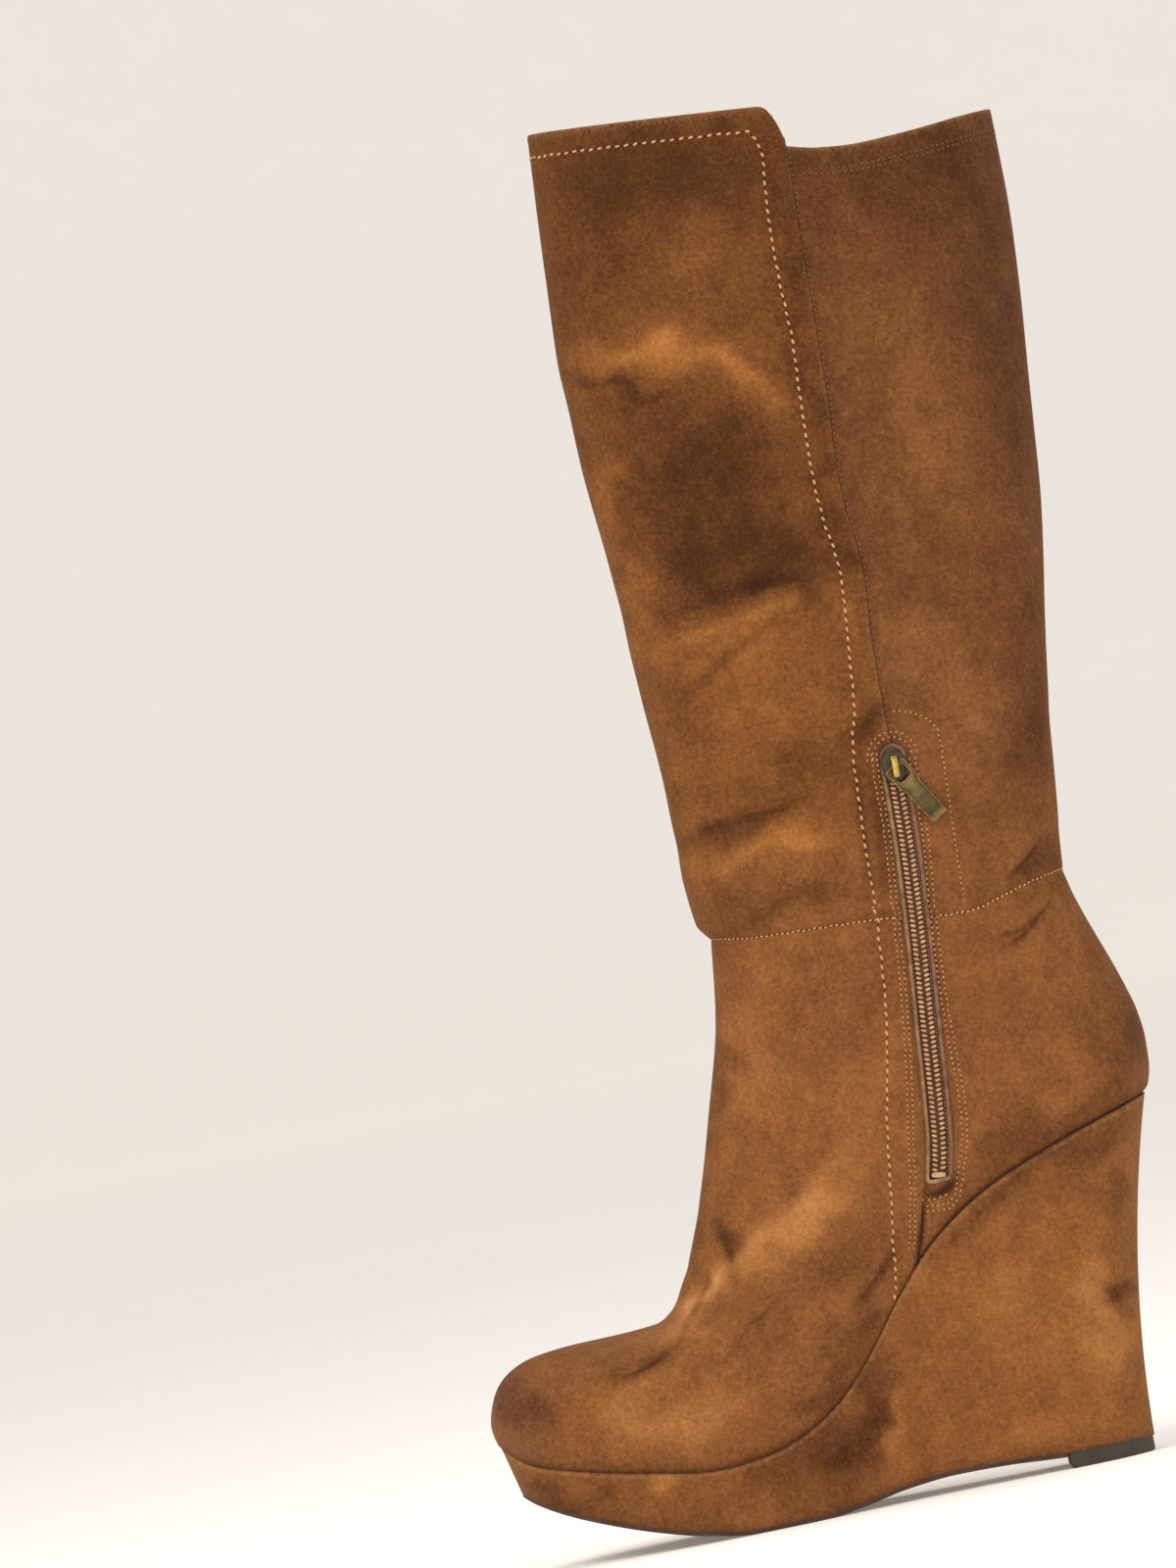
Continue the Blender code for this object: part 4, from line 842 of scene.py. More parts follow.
def swarm(name: str, shape: np.ndarray, frames: np.ndarray, centres: np.ndarray) -> bpy.types.Object:
    """Many copies of one small closed shape in one mesh.

    Args:
        name: the piece's name.
        shape: rings of the shape, (rings, around, 3), in its own axes; both end rings are points.
        frames: three axes for each copy, (n, 3, 3), one axis in each row.
        centres: where each copy goes, (n, 3).

    Returns:
        The new object.
    """
    count, around = shape.shape[:2]
    body = np.concatenate([shape[1:-1].reshape(-1, 3), shape[0, :1], shape[-1, :1]])
    step = np.arange(around)
    after = (step + 1) % around
    quads = grid_cells(count - 2, around, True)
    top = (count - 3) * around
    first = (count - 2) * around
    low = np.stack([after, step, np.full(around, first)], axis=1)
    high = np.stack([step + top, after + top, np.full(around, first + 1)], axis=1)
    quads, tips = outward_faces(body, [quads, np.concatenate([low, high])], body.mean(0))
    placed = np.einsum("pk,nkj->npj", body, frames) + centres[:, None, :]
    shift = (np.arange(len(centres)) * len(body))[:, None, None]
    flat = [(group[None] + shift).reshape(-1, group.shape[1]) for group in (quads, tips)]
    return mesh_piece(name, placed.reshape(-1, 3), flat)


def capsule(
    length: float, width: float, height: float, arch: float, rings: int = 7, around: int = 6
) -> np.ndarray:
    """Rings of a stitch: an ellipse carried along X, its size the square root of one less the
    fourth power of the share from the middle, on a line that arches up in its middle."""
    share = np.linspace(-1, 1, rings)
    size = np.sqrt(np.clip(1 - share**4, 0, 1))
    theta = np.linspace(0, 2 * math.pi, around, endpoint=False)
    x = np.repeat((share * length / 2)[:, None], around, axis=1)
    y = size[:, None] * np.cos(theta) * width / 2
    z = size[:, None] * np.sin(theta) * height / 2 + (arch * (1 - share**2))[:, None]
    return np.stack([x, y, z], axis=-1)


@dataclass(frozen=True)
class Skin:
    """The outer face of the suede: the plain form, the front pieces' lift and the folds."""

    form: BootForm = FORM
    lift: float = 0.7 * MM

    def at(
        self, level: np.ndarray, turn: np.ndarray, proud: float = 0.0
    ) -> tuple[np.ndarray, np.ndarray]:
        """Points of the finished outer face, a little proud of it, and the unit normals there.

        Args:
            level: levels up the boot, (n,).
            turn: signed angles round it, (n,).
            proud: how far to stand off the face.

        Returns:
            Points (n, 3) and normals (n, 3).
        """
        plain = self.form.point(level, turn)
        normal = self.form.normal(level, turn)
        inner_edge, outer_edge = self.form.edge_angles(level)
        front = np.where(turn < 0, -turn < inner_edge, turn < outer_edge)
        height = np.where(front, self.lift, 0.0) + folds_at(plain, turn) + proud
        return plain + normal * height[..., None], normal


@dataclass
class SuedePanel:
    """One cut piece of the suede: a shell with rolled edges, front or back, of foot or shaft."""

    name: str
    node: str
    front: bool
    upper: bool
    rows: int
    columns: int
    form: BootForm = FORM
    overlap: float = 9.0 * MM
    edge_round: float = 0.55 * MM
    rim_round: float = 0.7 * MM
    depth: float = 1.25 * MM
    lift: float = 0.7 * MM
    seam_overlap: float = 0.25 * MM
    tuck: float = 0.75 * MM
    tuck_reach: float = 2.2 * MM
    seam_reach: float = 6 * MM
    hem: float = 9.5 * MM
    hem_ease: float = 4 * MM
    thin_end: float = 0.05 * MM
    inner_round: float = 0.45 * MM
    pinch: float = 0.3 * MM
    pinch_width: float = 0.7 * MM
    pinch_reach: float = 2.5 * MM
    rim_drop: float = 0.3 * MM
    rim_reach: float = 2 * MM
    foot_radius: float = 72 * MM
    shaft_radius: float = 68 * MM

    def columns_at(self) -> np.ndarray:
        """Shares across the piece, closer together near its two long edges."""
        near = np.array([0.0, 0.12, 0.28, 0.5, 0.9, 1.5]) / 200.0
        start = 2.4 / 200.0
        middle = np.linspace(start, 1 - start, self.columns - 2 * len(near))
        return np.concatenate([near, middle, 1 - near[::-1]])

    def rows_at(self) -> np.ndarray:
        """Shares up the piece, closer together near its two ends."""
        near = np.array([0.0, 0.15, 0.35, 0.6, 1.0, 1.6]) / (120.0 if self.upper else 280.0)
        middle = np.linspace(near[-1] * 1.6, 1 - near[-1] * 1.6, self.rows - 2 * len(near))
        return np.concatenate([near, middle, 1 - near[::-1]])

    def lay_out(self) -> tuple[np.ndarray, np.ndarray]:
        """Level and angle of every grid point: shares between two ends and between two edges,
        worked out four times over because each leans on the other."""
        up, across = np.meshgrid(self.rows_at(), self.columns_at(), indexing="ij")
        base = 0.0 if self.upper else 1.0
        level = base + up
        turn = np.zeros_like(level)
        for _ in range(4):
            inner, outer = self.form.edge_angles(level)
            if self.front:
                turn = between(-inner, outer, across)
            else:
                hidden = self.overlap / np.where(level < 1, self.foot_radius, self.shaft_radius)
                turn = between(outer - hidden, 2 * math.pi - inner + hidden, across)
            if not self.upper:
                level = 1 + (self.form.top_level(wrapped(turn), self.front) - 1) * up
        return level, wrapped(turn)

    def cut_window(self, level: np.ndarray, turn: np.ndarray) -> tuple:
        """Leaves out the cells inside the zip's opening and brings the points round it onto its
        outline."""
        place = self.form.point(level, turn)
        off = self.form.window_distance(place[..., 0], place[..., 2])
        off = np.where(turn < 0, off, 1.0)
        middle = (off[:-1, :-1] + off[1:, :-1] + off[:-1, 1:] + off[1:, 1:]) / 4
        kept = middle > 0
        counts = np.zeros(level.shape)
        high, wide = kept.shape
        for down, right in ((0, 0), (0, 1), (1, 0), (1, 1)):
            counts[down:down + high, right:right + wide] += kept
        full = np.full(level.shape, 4.0)
        full[[0, -1], :] /= 2
        full[:, [0, -1]] /= 2
        rim = (counts > 0) & (counts < full)
        if rim.any():
            x, z = place[rim][:, 0], place[rim][:, 2]
            step = 0.05 * MM
            for _ in range(3):
                here = self.form.window_distance(x, z)
                slope_x = (self.form.window_distance(x + step, z) - here) / step
                slope_z = (self.form.window_distance(x, z + step) - here) / step
                x, z = x - here * slope_x, z - here * slope_z
            level, turn = level.copy(), turn.copy()
            level[rim], turn[rim] = self.form.settle(level[rim], turn[rim], x, z, 3)
        return level, turn, kept, off

    def build(self) -> bpy.types.Object:
        """The shell: plain form plus lift and folds outside, a wall's depth inside, with both long edges
        and the rims rolled by quarter circles, and values of nap tone, painted light and painted shade for its
        material."""
        level, turn = self.lay_out()
        level, turn, kept, off = self.cut_window(level, turn)
        plain = self.form.point(level, turn)
        normal = self.form.normal(level, turn)
        folds = folds_at(plain, turn)
        sides = np.linalg.norm(np.diff(plain, axis=1), axis=2)
        run = np.concatenate([np.zeros((len(plain), 1)), np.cumsum(sides, axis=1)], axis=1)
        from_edge = np.minimum(run, run[:, -1:] - run)
        heights = np.linalg.norm(np.diff(plain, axis=0), axis=2)
        climb = np.concatenate([np.zeros((1, plain.shape[1])), np.cumsum(heights, axis=0)], axis=0)
        from_top, from_low = climb[-1:] - climb, climb
        outer = folds + (self.lift if self.front else 0.0)
        if self.front:
            outer = outer - rolled(from_edge, self.edge_round)
            full = ease((from_edge - self.hem) / self.hem_ease)
            inner_depth = between(-self.thin_end, self.depth, full)
        else:
            inner_depth = np.full(level.shape, self.depth)
        outer = outer - rolled(from_top, self.rim_round)
        inner = folds - inner_depth
        if self.upper:
            outer = outer - self.tuck * (1 - ease(from_low / self.tuck_reach))
            inner = np.minimum(inner, outer - 0.4 * MM)
        else:
            outer = outer + self.seam_overlap * (1 - ease(from_low / self.seam_reach))
            outer = outer - rolled(from_low, self.rim_round)
            inner = inner + rolled(from_top, self.inner_round)
        beside = np.abs(off)
        pinched = self.pinch * np.exp(-beside / self.pinch_width)
        outer = outer - np.where(beside < self.pinch_reach, pinched, 0.0)
        inner = np.minimum(inner, outer - 0.25 * MM)
        if self.upper:
            near_rim = 1 - ease(from_low / self.rim_reach)
            plain = plain - np.array([0.0, 0.0, self.rim_drop]) * near_rim[..., None]
        faces = shell_faces(*level.shape, kept)
        points = np.concatenate([
            (plain + normal * outer[..., None]).reshape(-1, 3),
            (plain + normal * inner[..., None]).reshape(-1, 3),
        ])
        values = self.tone_and_light_values(plain, turn, folds, from_edge, from_top, from_low, off)
        doubled = {key: np.tile(value.ravel(), 2) for key, value in values.items()}
        points, faces, doubled = compact(points, faces, doubled)
        made = closed_piece(self.name, points, faces)
        for key, value in doubled.items():
            set_values(made, key, value)
        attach(made, "boot")
        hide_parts(self.node)
        return made

    def tone_and_light_values(
        self,
        plain: np.ndarray,
        turn: np.ndarray,
        folds: np.ndarray,
        from_edge: np.ndarray,
        from_top: np.ndarray,
        from_low: np.ndarray,
        off: np.ndarray,
    ) -> dict:
        """Values for the suede: the nap's tone with painted light and shade, painted shade along seams and
        edges, and a painted highlight on rolled edges.
        """
        inner = inner_share(plain[..., 1])
        x, z = plain[..., 0] / MM, plain[..., 2] / MM
        # Nap strokes, among them painted highlights on fold ridges and painted shade in creases, then the fixed
        # lines of painted shade and highlight.
        nap_and_light = 0.62 * sum_of(NAP_AND_PAINTED_LIGHT, *wander(plain[..., 0], plain[..., 2]), inner)
        nap_and_light = nap_and_light + sum_of(SHADE, plain[..., 0], plain[..., 2], inner)
        # Tone that darkens up the shaft: partly the suede's own colour, partly painted shade.
        rise = np.interp(z, [20, 110, 210, 330, 504], [0.485, 0.485, 0.45, 0.385, 0.31])
        violet = between(0.16, 0.03 if self.front else 0.22, ease((z - 205) / 60.0))
        rear = ease((x - 24) / 26.0) * (0.6 if not self.front else 0.0)
        toe = ease((-188 - x) / 22.0)
        # Painted shade along the feather line, round the zip's opening and, on the back pieces, under and just
        # behind the front piece's edge.
        seam_shade = 0.4 * np.exp(-from_low / (1.8 * MM)) + 0.4 * np.exp(-np.abs(off) / (1.6 * MM))
        if not self.front:
            seam_shade = seam_shade + 0.6 * np.exp(-np.clip(from_edge - self.overlap, 0, 1) / (1.5 * MM))
        low_shade = 0.26 * np.exp(-from_low / (1.9 * MM)) if self.upper else 0.0
        # Lighter rolled edges of the front pieces and of the shaft's topline: painted highlight.
        edge_highlight = np.exp(-from_edge / (0.5 * MM)) * (0.4 if self.front else 0.0)
        edge_highlight = edge_highlight + np.exp(-from_top / (0.8 * MM)) * (0.0 if self.upper else 0.8)
        # Fold ridges lighter and troughs darker in the colour: painted light and shade; low_shade is painted
        # shade just above the feather line.
        return {
            "nap_and_light": rise + nap_and_light + folds / MM * 0.05 - low_shade,
            "violet": np.clip(violet + 0.4 * rear + 0.35 * toe, 0, 1),
            "seam_shade": np.clip(seam_shade, 0, 1),
            "edge_highlight": np.clip(edge_highlight, 0, 1),
        }


@dataclass
class Lining:
    """The cloth inside the shaft and the foot, one tube that bulges inwards behind the zip's tape."""

    form: BootForm = FORM
    rows: int = 150
    columns: int = 150
    start: float = 0.03
    under_rim: float = 1.6 * MM
    depth: float = 1.32 * MM
    thickness: float = 0.5 * MM
    tape_room: float = 2.4 * MM
    tape_reach: float = 14.0 * MM
    tape_end: float = 3 * MM
    tape_top: float = 266 * MM
    room_side: float = 5 * MM
    room_end: float = 6 * MM

    def build(self) -> bpy.types.Object:
        """The tube: the plain form, in by its depth, and by more behind the tape."""
        up, turn = np.meshgrid(
            np.linspace(0, 1, self.rows), np.linspace(-math.pi, math.pi, self.columns + 1), indexing="ij"
        )
        inner_edge, outer_edge = self.form.edge_angles(np.full(turn.shape, 2.0))
        front = np.where(turn < 0, -turn < inner_edge, turn < outer_edge)
        tops = np.where(front, self.form.top_level(turn, True), self.form.top_level(turn, False))
        level = between(self.start, tops - self.under_rim / self.form.shaft_height, up)
        plain = self.form.point(level, turn)
        normal = self.form.normal(level, turn)
        folds = folds_at(plain, turn)
        centre, _ = self.form.zip_centre(plain[..., 2])
        away = np.abs(plain[..., 0] - centre) - self.tape_reach
        low_end, high_end = self.form.zip_bottom - self.tape_end, self.tape_top
        past = np.maximum(low_end - plain[..., 2], plain[..., 2] - high_end)
        beside = 1 - ease(away / self.room_side)
        room = beside * (1 - ease(past / self.room_end)) * (turn < 0)
        depth = self.depth + self.tape_room * room - folds
        outer = plain - normal * depth[..., None]
        inner = plain - normal * (depth + self.thickness)[..., None]
        kept = np.ones((self.rows - 1, self.columns), bool)
        points = np.concatenate([outer.reshape(-1, 3), inner.reshape(-1, 3)])
        faces = shell_faces(self.rows, self.columns + 1, kept)
        made = closed_piece("shaft_lining", points, faces)
        merge_doubles(made)
        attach(made, "boot")
        return made


def merge_doubles(piece: bpy.types.Object, distance: float = 0.004 * MM) -> None:
    """Joins points of a mesh that lie on each other, as along a closed seam."""
    work = bmesh.new()
    work.from_mesh(piece.data)
    bmesh.ops.remove_doubles(work, verts=work.verts, dist=distance)
    bmesh.ops.dissolve_degenerate(work, edges=work.edges, dist=distance)
    work.to_mesh(piece.data)
    work.free()
    piece.data.shade_smooth()


@dataclass
class CoveredWedge:
    """The wedge and its thin platform in one suede cover, with the feather crease over it."""

    form: BootForm = FORM
    sole_width: float = 81.0 * MM
    heel_base_width: float = 46.0 * MM
    toe_tuck: float = 4.0 * MM
    heel_rake: float = 20.5 * MM
    hollow: float = 4.2 * MM
    proud: float = 0.8 * MM
    base_edge: float = 1.4 * MM
    seat_edge: float = 1.0 * MM
    base_rise: float = 1.1 * MM
    stations: int = 190
    falls: int = 44

    def base_x(self, station: np.ndarray) -> np.ndarray:
        """Where the base lies along the foot."""
        toe = self.form.toe_x + self.toe_tuck
        return between(toe, self.form.heel_overhang - self.heel_rake, station)

    def side(self, station: np.ndarray, fall: np.ndarray, sign: float) -> np.ndarray:
        """A point of the cover's side: between seat and base by its fall, hollowed near the heel."""
        angle = angle_of(station)
        pick = 0 if sign < 0 else 1
        full = np.minimum(1.0, 3 * np.sin(angle))
        seat = self.form.plan(angle, self.form.ball_width, self.form.heel_width)[pick] + self.proud * full
        base = self.form.plan(angle, self.sole_width, self.heel_base_width)[pick]
        top_z = self.form.feather_height(station)
        low_z = self.form.tread_height(station) + self.base_rise
        hollowing = self.hollow * np.clip((station - 0.6) / 0.4, 0, 1) ** 2
        bow = 4 * fall * (1 - fall) * hollowing
        seat_x = between(self.form.toe_x, self.form.heel_overhang, station)
        x = between(seat_x, self.base_x(station), fall) - bow
        y = sign * (between(seat, base, fall) - bow * np.sin(angle) / 3)
        z = between(top_z, low_z, fall)
        rise = top_z - low_z
        from_seat, from_base = fall * rise, (1 - fall) * rise
        roll_seat = rolled(from_seat, self.seat_edge)
        roll_base = rolled(from_base, self.base_edge)
        return np.stack([x, y - sign * (roll_seat + roll_base) * full, z], axis=-1)

    def build(self) -> bpy.types.Object:
        """The closed cover: sections of inner side, base, outer side and seat, toe to heel."""
        angles = np.linspace(0.0, math.pi, self.stations)
        station = station_of(angles)
        near = np.array([0.0, 0.004, 0.012, 0.025, 0.045])
        middle = np.linspace(0.07, 0.93, self.falls - 2 * len(near))
        fall = np.concatenate([near, middle, 1 - near[::-1]])
        where, falls = np.meshgrid(station, fall, indexing="ij")
        inner, outer = self.side(where, falls, -1.0), self.side(where, falls, 1.0)
        across = np.linspace(0, 1, 8)[1:-1][None, :, None]
        base = between(inner[:, -1:], outer[:, -1:], across)
        seat = between(outer[:, :1], inner[:, :1], across)
        rings = np.concatenate([inner, base, outer[:, ::-1], seat], axis=1)
        made = lofted("wedge_cover", rings, False)
        places = np.zeros(len(made.data.vertices) * 3, np.float32)
        made.data.vertices.foreach_get("co", places)
        places = places.reshape(-1, 3).astype(float)
        inside = inner_share(places[:, 1])
        x, z = places[:, 0], places[:, 2]
        seat_station = np.clip((x - self.form.toe_x) / self.form.foot_length, 0, 1)
        below = np.clip(self.form.feather_height(seat_station) - z, 0, 1)
        start, end = self.base_x(0.0), self.base_x(1.0)
        low = z - self.form.tread_height(np.clip((x - start) / (end - start), 0, 1))
        # Painted shade just under the feather line and along the base.
        seam_shade = 0.35 * np.exp(-below / (1.0 * MM)) + 0.8 * np.exp(-low / (2.6 * MM))
        # The cover's tone: nap strokes with painted light and shade where its sides turn.
        set_values(made, "nap_and_light", 0.5 + 0.75 * sum_of(WEDGE_NAP_AND_PAINTED_LIGHT, *wander(x, z), inside))
        set_values(made, "violet", 0.12 + 0.3 * np.exp(-low / (3 * MM)))
        set_values(made, "seam_shade", np.clip(seam_shade, 0, 1))
        # A light band just under the feather line: painted highlight on the cover's lip.
        set_values(made, "edge_highlight", 0.35 * np.exp(-((below - 1.2 * MM) / (0.7 * MM)) ** 2))
        merge_doubles(made)
        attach(made, "boot")
        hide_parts("wedge")
        return made


@dataclass
class Soles:
    """The rubber outsole, the heel tip under the wedge's back and the sock on the seat."""

    form: BootForm = FORM
    wedge: CoveredWedge = field(default_factory=CoveredWedge)
    inset: float = 1.0 * MM
    thickness: float = 2.0 * MM
    tip_length: float = 29.0 * MM
    tip_thickness: float = 6.4 * MM
    tip_inset: float = 0.6 * MM
    breast_gap: float = 0.5 * MM
    edge: float = 0.5 * MM
    tip_edge: float = 0.8 * MM
    sock_inset: float = 2.1 * MM
    sock_thickness: float = 3.0 * MM
    sock_lift: float = 0.3 * MM
    sock_edge: float = 0.9 * MM

    def base_station(self, x: float) -> float:
        """The base's station at a place along the foot."""
        start, end = float(self.wedge.base_x(0.0)), float(self.wedge.base_x(1.0))
        return (x - start) / (end - start)

    def slab(
        self, name: str, x: np.ndarray, inner: np.ndarray, outer: np.ndarray,
        low: np.ndarray, high: np.ndarray, edge: float,
    ) -> bpy.types.Object:
        """A slab through upright sections whose four corners are rolled by quarter circles."""
        corner = np.linspace(0, math.pi / 2, 5)
        cos, sin = np.cos(corner)[None], np.sin(corner)[None]
        half = ((outer + inner) / 2)[:, None]
        radius = np.minimum(edge, np.minimum(half[:, 0], (high - low) / 2) * 0.98)[:, None]
        middle = ((outer - inner) / 2)[:, None]
        low, high = low[:, None], high[:, None]
        spread = np.linspace(1, -1, 12)[None, 1:-1]
        parts = (
            (middle + half - radius + radius * cos[:, ::-1], low + radius - radius * sin[:, ::-1]),
            (middle + half - radius + radius * cos, high - radius + radius * sin),
            (middle + (half - radius) * spread, high + 0 * spread),
            (middle - half + radius - radius * cos[:, ::-1], high - radius + radius * sin[:, ::-1]),
            (middle - half + radius - radius * cos, low + radius - radius * sin),
            (middle - (half - radius) * spread, low + 0 * spread),
        )
        y = np.concatenate([part[0] for part in parts], axis=1)
        z = np.concatenate([np.broadcast_to(part[1], part[0].shape) for part in parts], axis=1)
        rings = np.stack([np.broadcast_to(x[:, None], y.shape), y, z], axis=-1)
        return lofted(name, rings)

    def build_outsole(self) -> bpy.types.Object:
        """The thin sole under platform and arch, up to the heel tip's front."""
        last = self.base_station(-self.tip_length / 2 - self.breast_gap)
        angles = np.linspace(0.05, float(angle_of(last)), 110)
        station = station_of(angles)
        widths = self.wedge.sole_width - 2 * self.inset, self.wedge.heel_base_width - 2 * self.inset
        inner, outer = self.form.plan(angles, *widths)
        low = self.form.tread_height(station)
        x = self.wedge.base_x(station)
        made = self.slab("outsole_rubber", x, inner, outer, low, low + self.thickness, self.edge)
        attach(made, "boot")
        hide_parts("outsole")
        return made

    def build_tip(self) -> bpy.types.Object:
        """The heel tip: straight in front, round behind, its rim rolled at top and bottom."""
        breast = self.base_station(-self.tip_length / 2)
        angles = np.linspace(float(angle_of(breast)), math.pi, 60)
        station = station_of(angles)
        width = self.wedge.heel_base_width - 2 * self.tip_inset
        inner, outer = self.form.plan(angles, self.wedge.sole_width, width)
        behind = (station - breast) / (1 - breast)
        end = float(self.wedge.base_x(1.0)) - self.tip_inset
        x = between(-self.tip_length / 2, end, behind)
        line = np.concatenate([np.stack([x, -inner], 1), np.stack([x, outer], 1)[-2::-1]])
        front = np.linspace(1, 0, 26)[1:-1, None]
        line = np.concatenate([line, between(line[0], line[-1], front)])
        centre = line.mean(0)
        corner = np.linspace(0, math.pi / 2, 6)
        back_in = self.tip_edge * (1 - np.cos(corner))
        rise = self.tip_edge * (1 - np.sin(corner))
        profile = [(share, self.tip_edge, 0.0) for share in (0.02, 0.4, 0.8)]
        profile += [(1.0, float(b), float(r)) for b, r in zip(back_in[::-1], rise[::-1])]
        profile += [(1.0, 0.0, self.tip_thickness * share) for share in (0.3, 0.5, 0.7)]
        profile += [(1.0, float(b), self.tip_thickness - float(r)) for b, r in zip(back_in, rise)]
        profile += [(share, self.tip_edge, self.tip_thickness) for share in (0.8, 0.4, 0.02)]
        outward = unit(line - centre)
        rings = []
        for share, back, z in profile:
            place = centre + (line - centre - outward * back) * share
            rings.append(np.concatenate([place, np.full((len(place), 1), z)], axis=1))
        made = lofted("heel_tip_rubber", np.array(rings))
        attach(made, "boot")
        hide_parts("heel_tip")
        return made

    def build_sock(self) -> bpy.types.Object:
        """The sock on the seat, following the feather line inside the lining."""
        angles = np.linspace(0.09, math.pi - 0.09, 120)
        station = station_of(angles)
        form, inset = self.form, self.sock_inset
        x = between(form.toe_x + inset, form.heel_overhang - inset, station)
        inner, outer = form.plan(angles, form.ball_width - 2 * inset, form.heel_width - 2 * inset)
        low = form.feather_height((x - form.toe_x) / form.foot_length) + self.sock_lift
        made = self.slab("insole_sock", x, inner, outer, low, low + self.sock_thickness, self.sock_edge)
        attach(made, "boot")
        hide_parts("insole")
        return made


@dataclass(frozen=True)
class ZipBand:
    """Places on the zip's band: its centre line and the plain face over it."""

    form: BootForm = FORM
    known_low: float = 0.100
    known_high: float = 0.272
    known_count: int = 44

    def side_line(self, share: np.ndarray, across: np.ndarray) -> tuple[np.ndarray, np.ndarray, np.ndarray]:
        """Side-view place at a share up the zip and a distance across it towards the heel, and
        the slope of the centre line there."""
        z = self.form.zip_bottom + self.form.zip_length * share
        x, slope = self.form.zip_centre(z)
        length = np.sqrt(1 + slope**2)
        return x + across / length, z - across * slope / length, slope

    def on_face(self, x: np.ndarray, z: np.ndarray, depth: np.ndarray) -> tuple[np.ndarray, np.ndarray]:
        """Points under side-view places at a depth below the plain face, and unit normals there."""
        z_known = np.linspace(self.known_low, self.known_high, self.known_count)
        x_known, _ = self.form.zip_centre(z_known)
        levels, turns = self.form.locate(x_known, z_known, True)
        level, turn = np.interp(z, z_known, levels), np.interp(z, z_known, turns)
        level, turn = self.form.settle(level, turn, x, z, 4)
        normal = self.form.normal(level, turn)
        return self.form.point(level, turn) - normal * np.asarray(depth)[..., None], normal

    def frames(self, share: np.ndarray, across: np.ndarray, depth: float) -> tuple[np.ndarray, np.ndarray]:
        """Centres, and three axes at each: up the zip, across it towards the toe, out of the boot."""
        x, z, slope = self.side_line(share, across)
        centre, out = self.on_face(x, z, np.full(x.shape, depth))
        up = np.stack([slope, np.zeros_like(slope), np.ones_like(slope)], axis=-1)
        up = unit(up - out * (up * out).sum(-1, keepdims=True))
        return centre, np.stack([up, np.cross(out, up), out], axis=-2)


